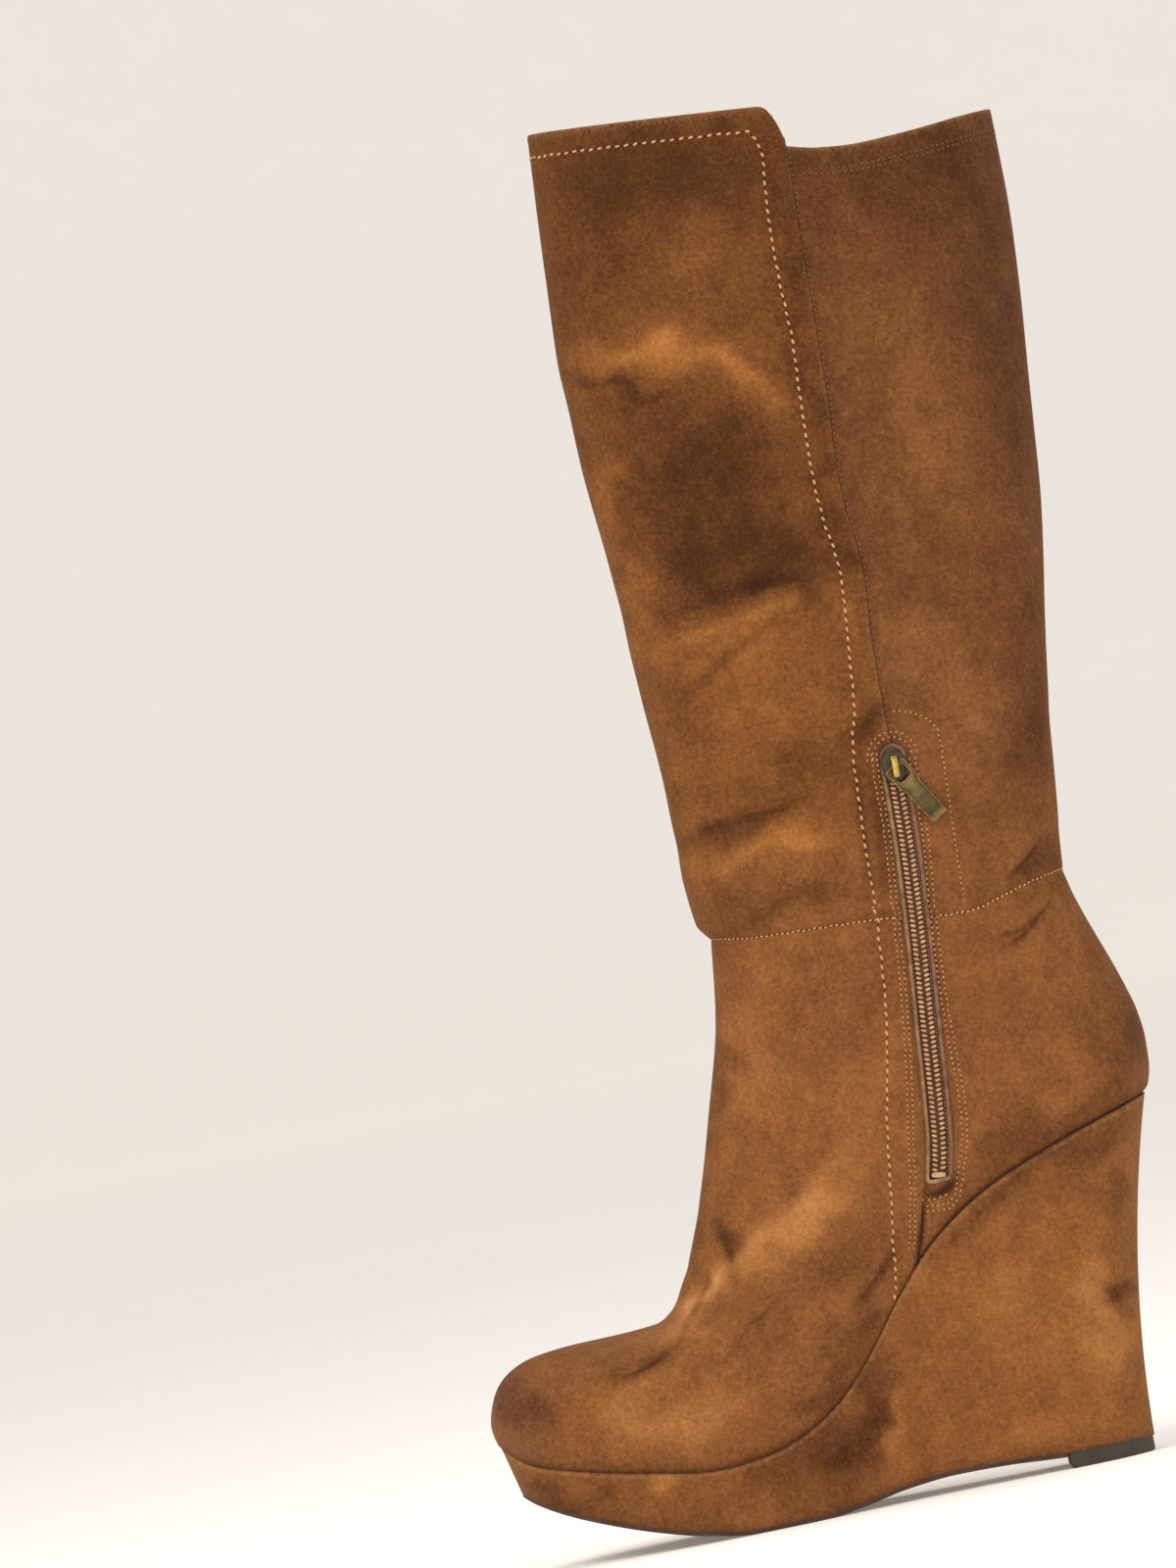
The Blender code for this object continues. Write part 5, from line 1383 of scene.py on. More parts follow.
@dataclass
class ZipFastener:
    """Tape, two rows of coil beads with their sewing, the bottom stop and the rolled binding."""

    band: ZipBand = field(default_factory=ZipBand)
    wall: float = 2.2 * MM
    gap: float = 0.3 * MM
    tape_width: float = 26.0 * MM
    tape_thickness: float = 0.8 * MM
    coil_thickness: float = 1.5 * MM
    bead_pitch: float = 1.7 * MM
    bead_length: float = 2.15 * MM
    bead_width: float = 1.1 * MM
    bead_offset: float = 1.5 * MM
    bead_slant: float = 17.0
    sewing_offset: float = 3.2 * MM
    sewing_pitch: float = 1.3 * MM
    stop_height: float = 2.2 * MM
    slider_room: float = 9.3 * MM
    roll_width: float = 1.75 * MM
    roll_height: float = 0.95 * MM
    roll_depth: float = 0.85 * MM
    rib_pitch: float = 1.15 * MM
    rib: float = 0.05
    crown_rib: float = 0.16
    crown_from: float = 0.256
    crown_over: float = 0.006
    brown_from: float = 0.257
    brown_over: float = 0.004
    tape_end: float = 0.985
    dash_length: float = 1.1 * MM
    dash_width: float = 0.55 * MM
    dash_height: float = 0.5 * MM
    stop_width: float = 5.4 * MM
    stop_thickness: float = 1.6 * MM

    def build_tape(self) -> bpy.types.Object:
        """The tape: a band with rounded edges that follows the plain face from below."""
        depth = self.wall + 1.5 * self.gap
        theta = np.linspace(0, 2 * math.pi, 28, endpoint=False)
        across = np.cos(theta) * self.tape_width / 2
        bulge = np.sign(np.sin(theta)) * np.abs(np.sin(theta)) ** 0.35 * self.tape_thickness / 2
        share, u = np.meshgrid(np.linspace(0.0, self.tape_end, 90), across, indexing="ij")
        x, z, _ = self.band.side_line(share, u)
        sink = depth + self.tape_thickness / 2 - np.broadcast_to(bulge, share.shape)
        places, _ = self.band.on_face(x, z, sink)
        made = lofted("zip_tape_cloth", places)
        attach(made, "boot")
        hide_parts("zip_tape")
        return made

    def coil_shares(self, pitch: float) -> np.ndarray:
        """Shares up the zip at a pitch, from over the stop to under the slider."""
        length = self.band.form.zip_length
        start, end = self.stop_height + 2.2 * self.gap, length - self.slider_room
        return np.arange(start, end, pitch) / length

    def build_coil(self) -> list[bpy.types.Object]:
        """Two rows of slanted beads that meet at the zip's middle, and a row of sewing beside each."""
        depth = self.wall + 0.5 * self.gap - self.coil_thickness / 2
        slant = math.radians(self.bead_slant)
        centres, axes = [], []
        for sign in (-1.0, 1.0):
            shift = (0.5 * self.bead_pitch if sign > 0 else 0.0) / self.band.form.zip_length
            share = self.coil_shares(self.bead_pitch) + shift
            across = np.full(share.shape, sign * self.bead_offset)
            centre, frame_axes = self.band.frames(share, across, depth)
            up, side, out = frame_axes[:, 0], frame_axes[:, 1], frame_axes[:, 2]
            long = up * math.sin(slant) + side * -sign * math.cos(slant)
            centres.append(centre)
            axes.append(np.stack([long, np.cross(out, long), out], axis=1))
        bead = capsule(self.bead_length, self.bead_width, self.coil_thickness * 0.92, 0.0, 9, 10)
        beads = swarm("zip_coil_beads", bead, np.concatenate(axes), np.concatenate(centres))
        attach(beads, "boot")
        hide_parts("zip_coil")
        centres, axes = [], []
        for sign in (-1.0, 1.0):
            share = self.coil_shares(self.sewing_pitch)
            across = np.full(share.shape, sign * self.sewing_offset)
            centre, frame_axes = self.band.frames(share, across, self.wall + 1.3 * self.gap)
            centres.append(centre)
            axes.append(frame_axes)
        dash = capsule(self.dash_length, self.dash_width, self.dash_height, 0.0, 5, 6)
        sewing = swarm("zip_sewing", dash, np.concatenate(axes), np.concatenate(centres))
        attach(sewing, "boot")
        return [beads, sewing]

    def build_stop(self) -> bpy.types.Object:
        """The bottom stop: a rounded block pressed over both rows."""
        share = np.array([self.stop_height / 2 / self.band.form.zip_length])
        depth = self.wall + 0.5 * self.gap - self.coil_thickness / 2
        centre, axes = self.band.frames(share, np.zeros(1), depth)
        block = capsule(self.stop_height, self.stop_width, self.stop_thickness, 0.0, 13, 20)
        made = swarm("zip_stop_block", block, axes, centre)
        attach(made, "boot")
        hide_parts("zip_stop")
        return made

    def rim_path(self, inset: float, count: int) -> np.ndarray:
        """Side-view points round the opening, a distance inside its outline: up the front side,
        over the crown, down the back side and along the foot with its two round corners."""
        form = self.band.form
        half, corner = form.window_width / 2 - inset, max(form.window_corner - inset, 0.6 * MM)
        low = -form.window_below + inset
        turn = np.linspace(math.pi, 0, 24)
        crown = np.stack([half * np.cos(turn), form.zip_length + half * np.sin(turn)], axis=1)
        quarter = np.linspace(0, -math.pi / 2, 8)
        right_u, right_v = half - corner + corner * np.cos(quarter), low + corner + corner * np.sin(quarter)
        right = np.stack([right_u, right_v], axis=1)
        left = right[::-1] * (-1, 1)
        line = np.concatenate([left, crown, right, left[:1]])
        u, v = even_line(line, count + 1)[:-1].T
        z = form.zip_bottom + v
        x, slope = form.zip_centre(np.minimum(z, form.zip_bottom + form.zip_length))
        slope = np.where(v > form.zip_length, 0.0, slope)
        x = x + u * np.sqrt(1 + slope**2)
        return np.stack([x, z], axis=1)

    def build_roll(self) -> bpy.types.Object:
        """The rolled binding inside the opening: an oval cord, ribbed over the crown."""
        path = self.rim_path(self.roll_width * 0.46, 520)
        centre, out = self.band.on_face(path[:, 0], path[:, 1], np.full(len(path), self.roll_depth))
        tangent = unit(np.roll(centre, -1, axis=0) - np.roll(centre, 1, axis=0))
        beside = unit(np.cross(tangent, out))
        run = np.cumsum(np.linalg.norm(centre - np.roll(centre, 1, axis=0), axis=1))
        crown = ease((path[:, 1] - self.crown_from) / self.crown_over)
        rib = 1 + (self.rib + self.crown_rib * crown) * np.sin(run * 2 * math.pi / self.rib_pitch)
        theta = np.linspace(0, 2 * math.pi, 14, endpoint=False)
        wide = (self.roll_width / 2 * rib)[:, None, None] * np.cos(theta)[None, :, None]
        high = (self.roll_height / 2 * rib)[:, None, None] * np.sin(theta)[None, :, None]
        rings = centre[:, None] + beside[:, None] * wide + out[:, None] * high
        rings = np.concatenate([rings, rings[:1]])
        points = rings.reshape(-1, 3)
        made = closed_piece("zip_binding", points, [grid_cells(len(rings), len(theta), True)])
        middle, _ = self.band.form.zip_centre(points[:, 2])
        set_values(made, "pinkish", ease((points[:, 0] - middle) / (2 * MM) + 0.5))
        set_values(made, "brown", ease((points[:, 2] - self.brown_from) / self.brown_over))
        merge_doubles(made)
        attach(made, "boot")
        return made


@dataclass
class SliderAndPull:
    """The slider's shield and bridge, and the pull that hangs on it by its eye."""

    band: ZipBand = field(default_factory=ZipBand)
    wall: float = 2.2 * MM
    gap: float = 0.3 * MM
    drop: float = 3.5 * MM
    width: float = 9.0 * MM
    length: float = 11.0 * MM
    plate: float = 1.2 * MM
    plate_level: float = 2.1 * MM
    room: float = 2.4 * MM
    bar: float = 0.9 * MM
    bridge_width: float = 2.3 * MM
    bridge_length: float = 8.6 * MM
    pull_width: float = 6.6 * MM
    head_width: float = 8.4 * MM
    pull_length: float = 24.0 * MM
    pull_thickness: float = 1.3 * MM
    eye_length: float = 5.2 * MM
    eye_width: float = 5.8 * MM
    rim: float = 1.6 * MM
    shoulder: float = 2.0 * MM
    corner: float = 1.0 * MM
    bevel: float = 0.28 * MM
    swing: float = 33.0

    def place(self) -> tuple[np.ndarray, np.ndarray]:
        """The slider's centre and its axes: up the zip, towards the toe, out of the boot."""
        share = np.array([1 - self.drop / self.band.form.zip_length])
        centre, axes = self.band.frames(share, np.zeros(1), self.wall + 0.5 * self.gap)
        return centre[0], axes[0]

    def set_down(self, points: np.ndarray, centre: np.ndarray, axes: np.ndarray) -> np.ndarray:
        """Points from the slider's own axes to the boot's."""
        return centre + points @ axes

    def bevelled(self, outline: np.ndarray, low: float, high: float, bevel: float, dome: float) -> np.ndarray:
        """Rings of a plate: its outline drawn in at both rims, then shares of it across the top,
        which rises a little towards its middle."""
        middle = outline.mean(0)
        inward = unit(middle - outline)
        rings = [(0.03, 0.0, low), (0.6, 0.0, low), (1.0, bevel, low), (1.0, bevel * 0.3, low + bevel * 0.3)]
        rings += [(1.0, 0.0, low + bevel), (1.0, 0.0, high - bevel), (1.0, bevel * 0.3, high - bevel * 0.3)]
        rings += [(1.0, bevel, high), (0.75, bevel, high + dome * 0.6), (0.4, bevel, high + dome)]
        rings += [(0.03, bevel, high + dome)]
        made = []
        for share, back, z in rings:
            flat = middle + (outline - middle + inward * back) * share
            made.append(np.concatenate([flat, np.full((len(flat), 1), z)], axis=1))
        return np.array(made)

    def build_slider(self) -> list[bpy.types.Object]:
        """The shield-shaped plate with its flanks, and the bridge over it as a bent bar."""
        centre, axes = self.place()
        half, tail = self.width / 2, self.length / 2
        turn = np.radians(np.linspace(-75, 75, 17))
        arc = np.stack([tail - half + half * np.cos(turn), half * np.sin(turn)], axis=1)
        back = np.array([(-0.36 * tail, 0.92 * half), (-0.84 * tail, 0.66 * half), (-tail, 0.5 * half)])
        drawn = np.concatenate([arc, back, back[::-1] * (1, -1)])
        outline = closed_outline(drawn, 0.7 * MM, 96)
        low = self.plate_level - 1.1 * MM
        rings = self.bevelled(outline, low, self.plate_level + self.plate, 0.35 * MM, 0.25 * MM)
        shield = lofted("slider_shield", self.set_down(rings, centre, axes))
        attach(shield, "boot")
        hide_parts("zip_slider")
        base = self.plate_level + self.plate - 0.2 * MM
        top = self.plate_level + self.plate + self.room + self.bar / 2
        end = (self.bridge_length - self.bar) / 2
        theta = np.linspace(0, math.pi / 2, 8)
        bend = min(1.3 * MM, top - base)
        climb = np.stack([-end + bend - bend * np.cos(theta), top - bend + bend * np.sin(theta)], axis=1)
        start = np.array([[-end - 0.2 * MM, base], [-end, base + (top - base) * 0.3]])
        line = np.concatenate([start, climb])
        line = np.concatenate([line, line[::-1] * (-1, 1)])
        line = even_line(line, 60)
        tangent = unit(np.gradient(line, axis=0))
        normal = np.stack([-tangent[:, 1], tangent[:, 0]], axis=1)
        turn = np.linspace(0, 2 * math.pi, 20, endpoint=False)
        cos, sin = np.cos(turn), np.sin(turn)
        wide = np.sign(cos) * np.abs(cos) ** 0.5 * self.bridge_width / 2
        high = np.sign(sin) * np.abs(sin) ** 0.6 * self.bar / 2
        x = line[:, :1] + normal[:, :1] * high[None]
        z = line[:, 1:] + normal[:, 1:] * high[None]
        rings = np.stack([x, np.broadcast_to(wide, x.shape), z], axis=-1)
        bridge = lofted("slider_bridge", self.set_down(rings, centre, axes))
        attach(bridge, "boot")
        return [shield, bridge]

    def build_pull(self) -> bpy.types.Object:
        """The pull: a plate round an eye, as rings from the eye's rim to the outer rim on both
        faces. The eye's radius is that of a fourth-power oval along each ray from its middle."""
        centre, axes = self.place()
        bar = self.pull_thickness / 2
        eye_x = bar + self.eye_length / 2
        head_end = bar + self.eye_length + self.rim
        neck = head_end + self.shoulder
        head, body = self.head_width / 2, self.pull_width / 2
        drawn = np.array([
            (-bar, -head), (head_end, -head), (neck, -body), (self.pull_length, -body),
            (self.pull_length, body), (neck, body), (head_end, head), (-bar, head),
        ])
        outline = closed_outline(drawn, self.corner, 168)
        ray = outline - (eye_x, 0.0)
        way = unit(ray)
        along, beside = np.abs(way[:, 0]) * 2 / self.eye_length, np.abs(way[:, 1]) * 2 / self.eye_width
        reach = along**4 + beside**4
        eye = np.array([eye_x, 0.0]) + way / reach[:, None] ** 0.25
        low, high, bevel = -self.pull_thickness / 2, self.pull_thickness / 2, self.bevel
        gap = np.minimum(bevel, np.linalg.norm(outline - eye, axis=1) * 0.3)[:, None]
        profile = [
            (eye + way * gap, low), (eye, low + bevel), (eye, high - bevel), (eye + way * gap, high),
            (between(eye + way * gap, outline - way * gap, 0.85), high), (outline - way * gap, high),
            (outline, high - bevel), (outline, low + bevel), (outline - way * gap, low),
            (between(eye + way * gap, outline - way * gap, 0.5), low),
        ]
        rings = np.array([
            np.concatenate([flat, np.full((len(flat), 1), z)], axis=1) for flat, z in [*profile, profile[0]]
        ])
        angle = math.pi + math.radians(self.swing)
        cos, sin = math.cos(angle), math.sin(angle)
        spun = np.array([[cos, sin, 0], [-sin, cos, 0], [0, 0, 1]])
        lift = np.array([0, 0, self.plate_level + self.plate + self.room / 2])
        points = self.set_down(rings.reshape(-1, 3) @ spun + lift, centre, axes)
        made = closed_piece("pull_tab", points, [grid_cells(len(rings), len(outline), True)])
        # Painted highlight on the bevels of the eye's rim and the outer rim, none on the flat faces.
        bevel_highlight_by_ring = np.array([0.6, 0.9, 0.9, 0.5, 0.0, 0.8, 1.0, 1.0, 0.5, 0.0, 0.6])
        set_values(made, "bevel_highlight", np.repeat(bevel_highlight_by_ring, len(outline)))
        merge_doubles(made)
        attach(made, "pull")
        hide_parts("zip_pull")
        return made


def closed_outline(drawn: np.ndarray, radius: float, count: int) -> np.ndarray:
    """A closed outline through drawn corners, each cut by a quadratic curve, at even distances."""
    before, after = np.roll(drawn, 1, axis=0), np.roll(drawn, -1, axis=0)
    to_before, to_after = before - drawn, after - drawn
    reach_before = np.minimum(radius, np.linalg.norm(to_before, axis=1) * 0.45)[:, None]
    reach_after = np.minimum(radius, np.linalg.norm(to_after, axis=1) * 0.45)[:, None]
    start, end = drawn + unit(to_before) * reach_before, drawn + unit(to_after) * reach_after
    t = np.linspace(0, 1, 7)[None, :, None]
    rounded = (1 - t) ** 2 * start[:, None] + 2 * t * (1 - t) * drawn[:, None] + t**2 * end[:, None]
    line = rounded.reshape(-1, 2)
    return even_line(np.concatenate([line, line[:1]]), count + 1)[:-1]


@dataclass(frozen=True)
class Stitch:
    """The sizes of one kind of stitch, and of the needle's hole between two."""

    piece: str
    pitch: float
    length: float
    width: float
    height: float
    tilt: float
    hole: float
    sink: float = 0.1 * MM


THICK = Stitch("stitches_thick", 3.35 * MM, 2.0 * MM, 0.86 * MM, 0.8 * MM, 15.0, 0.95 * MM)
THIN = Stitch("stitches_thin", 1.95 * MM, 1.15 * MM, 0.56 * MM, 0.5 * MM, 6.0, 0.6 * MM)
DARK = Stitch("stitches_dark", 2.1 * MM, 1.45 * MM, 0.5 * MM, 0.42 * MM, 4.0, 0.55 * MM)
SEAM = Stitch("stitches_seam", 2.0 * MM, 1.45 * MM, 0.66 * MM, 0.6 * MM, 12.0, 0.6 * MM, 0.0)

# Rows drawn on the inner side view, (x, z) in millimetres.
THICK_LINE = (
    (-65.6, 71.2), (-64.1, 74.9), (-62.3, 85.9), (-60.1, 101.9), (-57.9, 117.9), (-55.2, 135.2),
    (-51.2, 154.8), (-47.7, 174.7), (-45.7, 194.7), (-44.3, 212.0), (-43.7, 232.6), (-42.7, 247.4),
    (-41.8, 262.2), (-39.9, 273.5), (-37.9, 280.5), (-36.3, 296.7), (-34.4, 315.0), (-33.5, 332.1),
    (-35.7, 349.0), (-36.3, 366.2), (-35.1, 394.6), (-33.9, 413.9), (-34.3, 430.4), (-34.1, 450.0),
    (-33.0, 466.2), (-31.6, 478.4), (-32.4, 485.2), (-35.2, 488.6),
)
FRONT_ROW = (
    (-55.9, 87.5), (-53.1, 98.0), (-49.4, 119.7), (-43.8, 153.3), (-40.4, 180.1), (-38.3, 201.4),
    (-36.5, 220.3), (-35.1, 239.0), (-35.0, 254.1), (-34.2, 264.0),
)
BACK_ROW = (
    (-48.2, 100.9), (-42.5, 100.7), (-37.0, 101.8), (-33.0, 111.6), (-29.3, 123.2), (-27.4, 139.3),
    (-27.2, 155.6), (-26.9, 173.3), (-25.8, 190.7), (-24.2, 209.7), (-22.3, 226.9), (-21.4, 244.5),
    (-21.2, 260.0),
)
PATCH_ROW = (
    (-25.2, 276.9), (-20.5, 276.0), (-16.2, 274.0), (-11.8, 270.2), (-10.2, 264.1), (-10.9, 249.2),
    (-11.6, 235.7), (-12.4, 218.1), (-13.0, 205.2),
)
EDGE_ROW = (
    (-22.0, 480.0), (-22.9, 457.7), (-24.0, 421.9), (-24.9, 389.2), (-26.7, 367.0), (-26.4, 349.0),
    (-24.6, 333.0), (-24.9, 321.0), (-26.3, 305.0), (-26.9, 287.0), (-27.1, 271.0),
)
LOW_EDGE_ROW = ((-45.9, 108.2), (-47.1, 104.2), (-49.9, 93.2), (-52.6, 85.4), (-55.4, 75.6))


@dataclass
class Stitching:
    """All rows of stitches, each a path of level and angle on the suede's face."""

    skin: Skin = field(default_factory=Skin)
    form: BootForm = FORM

    def drawn(self, line: tuple, aside: float = 0.0) -> np.ndarray:
        """A row drawn on the inner side view, moved aside across its run by so many millimetres."""
        curve = curve_through(np.array(line), max(8, 3 * len(line)))
        run = unit(np.gradient(curve, axis=0))
        curve = (curve + np.stack([run[:, 1], -run[:, 0]], axis=1) * aside) * MM
        return np.stack(self.form.locate(curve[:, 0], curve[:, 1], True), axis=1)

    def beside_edge(self, low: float, high: float, ahead: float) -> np.ndarray:
        """A row on the outer side that keeps a distance ahead of the panel's edge, in metres."""
        level = np.linspace(low, high, 90)
        _, edge = self.form.edge_angles(level)
        _, around = self.form.tangents(level, edge)
        return np.stack([level, edge - ahead / np.linalg.norm(around, axis=1)], axis=1)

    def under_top(self, start: float, end: float, below: float, front: bool) -> np.ndarray:
        """A row that keeps a distance below the topline, between two angles."""
        turn = np.linspace(start, end, 90)
        level = self.form.top_level(wrapped(turn), front) - below / self.form.shaft_height
        return np.stack([level, turn], axis=1)

    def round_crown(self, radius: float) -> np.ndarray:
        """A row over the crown of the zip's opening, from its front side to its back side."""
        turn = np.linspace(math.pi * 1.02, -0.02 * math.pi, 30)
        x = -self.form.zip_forward + self.form.zip_lean + radius * np.cos(turn)
        z = self.form.zip_bottom + self.form.zip_length + radius * np.sin(turn)
        return np.stack(self.form.locate(x, z, True), axis=1)

    def seam_rows(self) -> list[np.ndarray]:
        """The row in the ankle seam: all round, but for the zip's opening."""
        inner, _ = self.form.edge_angles(np.array([1.0]))
        metric = float(np.linalg.norm(self.form.tangents(np.array([1.0]), -inner)[1]))
        half = 7.6 * MM / metric
        turn = np.linspace(-float(inner[0]) + half, 2 * math.pi - float(inner[0]) - half, 260)
        return [np.stack([np.full_like(turn, 1.0), turn], axis=1)]

    def rows(self) -> dict:
        """Every row of each kind of stitch."""
        inner_top, outer_top = (float(value[0]) for value in self.form.edge_angles(np.array([2.0])))
        corner_inner, corner_outer = inner_top - 0.24, outer_top - 0.24
        around = 2 * math.pi - inner_top
        thick = [
            np.concatenate([
                self.drawn(THICK_LINE),
                self.under_top(-corner_inner, corner_outer, 8.4 * MM, True),
                self.beside_edge(1.93, 0.07, 9.6 * MM),
            ])
        ]
        thin = [
            self.drawn(FRONT_ROW, 0.9), self.drawn(FRONT_ROW, -0.9),
            self.drawn(BACK_ROW, 0.95), self.drawn(BACK_ROW, -0.95),
            self.round_crown(7.0 * MM), self.round_crown(8.9 * MM),
            self.drawn(PATCH_ROW),
            self.drawn(((-49.3, 104.6), (-44.0, 104.0), (-38.8, 104.9))),
            self.drawn(((-46.4, 209.0), (-44.0, 210.6), (-41.6, 209.6))),
            self.drawn(((-46.0, 206.9), (-43.9, 205.4), (-42.2, 206.2))),
        ]
        dark = [
            self.under_top(-inner_top + 0.2, outer_top - 0.2, 1.9 * MM, True),
            self.drawn(EDGE_ROW), self.drawn(LOW_EDGE_ROW),
            self.beside_edge(1.93, 0.05, -1.3 * MM),
            self.under_top(outer_top + 0.05, around - 0.05, 7.6 * MM, False),
            self.under_top(outer_top + 0.05, around - 0.05, 9.4 * MM, False),
        ]
        for sign in (-1.0, 1.0):
            for low, high in ((1.005, 1.14), (1.835, 1.915)):
                level = np.linspace(low, high, 20)
                dark.append(np.stack([level, np.full_like(level, math.pi + sign * 0.16)], axis=1))
        return {THICK: thick, THIN: thin, DARK: dark, SEAM: self.seam_rows()}

    def lay_out(self, path: np.ndarray, stitch: Stitch) -> tuple[np.ndarray, np.ndarray, np.ndarray]:
        """Centres of a row's stitches at their pitch, the row's run there and the way out.

        Args:
            path: level and angle along the row, (n, 2).
            stitch: which stitch the row is sewn with.

        Returns:
            Centres, runs and normals, (m, 3) each.
        """
        share = np.linspace(0, len(path) - 1, 14 * len(path))
        fine = np.stack([np.interp(share, np.arange(len(path)), path[:, k]) for k in (0, 1)], axis=1)
        places = self.form.point(fine[:, 0], fine[:, 1])
        run = run_along(places)
        count = max(2, int(run[-1] / stitch.pitch))
        at = (np.arange(count) + 0.5) * run[-1] / count
        level, turn = np.interp(at, run, fine[:, 0]), np.interp(at, run, fine[:, 1])
        centre, out = self.skin.at(level, wrapped(turn), -stitch.sink)
        return centre, unit(np.gradient(centre, axis=0)), out

    def build(self) -> list[bpy.types.Object]:
        """One piece for each kind of stitch, and one of dark discs between stitches that paint the shade in the
        needle holes.
        """
        made, hole_centres, hole_axes = [], [], []
        for stitch, paths in self.rows().items():
            centres, axes = [], []
            for path in paths:
                centre, run, out = self.lay_out(path, stitch)
                beside = unit(np.cross(out, run))
                number = np.arange(len(centre))[:, None]
                sway = 0.45 * np.sin(number * 2.3) + 0.3 * np.sin(number * 5.1)
                tilt = np.radians(stitch.tilt * (1 + sway))
                long = unit(run * np.cos(tilt) + beside * np.sin(tilt))
                uneven = 0.09 * MM * (np.sin(number * 1.7) + np.sin(number * 4.3 + 1))
                centres.append(centre + beside * uneven)
                axes.append(np.stack([long, unit(np.cross(out, long)), out], axis=1))
                # Dark discs sunk between stitches: painted shade in the needle holes.
                gap = (centre[1:] + centre[:-1]) / 2 - out[1:] * 0.02 * MM
                hole_centres.append(gap + out[1:] * (stitch.sink - 0.06 * MM))
                size = stitch.hole / MM
                hole_axes.append(np.stack([run[1:] * size, beside[1:] * size, out[1:] * 0.35], axis=1))
            shape = capsule(stitch.length, stitch.width, stitch.height, 0.12 * MM)
            made.append(swarm(stitch.piece, shape, np.concatenate(axes), np.concatenate(centres)))
        hole = capsule(1.0 * MM, 0.85 * MM, 0.7 * MM, 0.0, 5, 6)
        made.append(swarm("stitch_hole_shade", hole, np.concatenate(hole_axes), np.concatenate(hole_centres)))
        for piece in made:
            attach(piece, "boot")
        return made


def tint(code: str) -> tuple[float, float, float, float]:
    """A colour of six hexadecimal digits as linear light, with full cover."""
    parts = [int(code[start:start + 2], 16) / 255 for start in (0, 2, 4)]
    linear = [part / 12.92 if part <= 0.04045 else ((part + 0.055) / 1.055) ** 2.4 for part in parts]
    return (linear[0], linear[1], linear[2], 1.0)


class Sheet:
    """A node tree with short ways to add nodes, to link them and to do sums with values."""

    def __init__(self, tree: bpy.types.NodeTree) -> None:
        """Keeps the tree that nodes are added to."""
        self.tree = tree

    def add(self, kind: str, **settings: object) -> bpy.types.Node:
        """A new node of that kind with those settings."""
        node = self.tree.nodes.new(kind)
        for key, value in settings.items():
            setattr(node, key, value)
        return node

    def feed(self, socket: bpy.types.NodeSocket, value: object) -> None:
        """Links an output to the socket, or sets the socket to a value."""
        if isinstance(value, bpy.types.NodeSocket):
            self.tree.links.new(value, socket)
        else:
            socket.default_value = value

    def sum(self, operation: str, *values: object, clamp: bool = False) -> bpy.types.NodeSocket:
        """A math node's result."""
        node = self.add("ShaderNodeMath", operation=operation, use_clamp=clamp)
        for socket, value in zip(node.inputs, values):
            self.feed(socket, value)
        return node.outputs[0]

    def noise(self, place: object, scale: float, detail: float, rough: float = 0.55) -> bpy.types.NodeSocket:
        """A noise about zero at that scale per metre."""
        node = self.add("ShaderNodeTexNoise")
        for name, value in (("Vector", place), ("Scale", scale), ("Detail", detail), ("Roughness", rough)):
            self.feed(node.inputs[name], value)
        return self.sum("SUBTRACT", node.outputs[0], 0.5)

    def stretched(self, place: object, shares: tuple[float, float, float]) -> bpy.types.NodeSocket:
        """Places scaled by a share along each axis."""
        node = self.add("ShaderNodeMapping")
        self.feed(node.inputs["Vector"], place)
        self.feed(node.inputs["Scale"], shares)
        return node.outputs[0]

    def stored(self, name: str) -> bpy.types.NodeSocket:
        """The number that a piece stores under a name."""
        return self.add("ShaderNodeAttribute", attribute_name=name).outputs["Fac"]

    def mix(self, share: object, start: object, end: object, blend: str = "MIX") -> bpy.types.NodeSocket:
        """A colour a share of the way from start to end."""
        node = self.add("ShaderNodeMix", data_type="RGBA", blend_type=blend, clamp_factor=True)
        self.feed(node.inputs[0], share)
        self.feed(node.inputs[6], start)
        self.feed(node.inputs[7], end)
        return node.outputs[2]

    def ramp(self, share: object, stops: tuple) -> bpy.types.NodeSocket:
        """A colour read from stops of place and hexadecimal colour."""
        node = self.add("ShaderNodeValToRGB")
        points = node.color_ramp.elements
        points[0].position, points[0].color = stops[0][0], tint(stops[0][1])
        points[1].position, points[1].color = stops[-1][0], tint(stops[-1][1])
        for place, code in stops[1:-1]:
            points.new(place).color = tint(code)
        self.feed(node.inputs[0], share)
        return node.outputs[0]


def new_group(name: str, inputs: tuple, outputs: tuple) -> tuple[bpy.types.NodeTree, Sheet, dict, dict]:
    """A shader node group with named sockets.

    Args:
        name: the group's name.
        inputs: pairs of socket name and kind.
        outputs: pairs of socket name and kind.

    Returns:
        The group, its sheet, its inner input sockets and its inner output sockets by name.
    """
    group = bpy.data.node_groups.new(name, "ShaderNodeTree")
    kinds = {"float": "NodeSocketFloat", "vector": "NodeSocketVector", "colour": "NodeSocketColor"}
    for socket, kind in inputs:
        group.interface.new_socket(name=socket, in_out="INPUT", socket_type=kinds[kind])
    for socket, kind in outputs:
        group.interface.new_socket(name=socket, in_out="OUTPUT", socket_type=kinds[kind])
    sheet = Sheet(group)
    start, end = sheet.add("NodeGroupInput"), sheet.add("NodeGroupOutput")
    return group, sheet, dict(start.outputs.items()), dict(end.inputs.items())


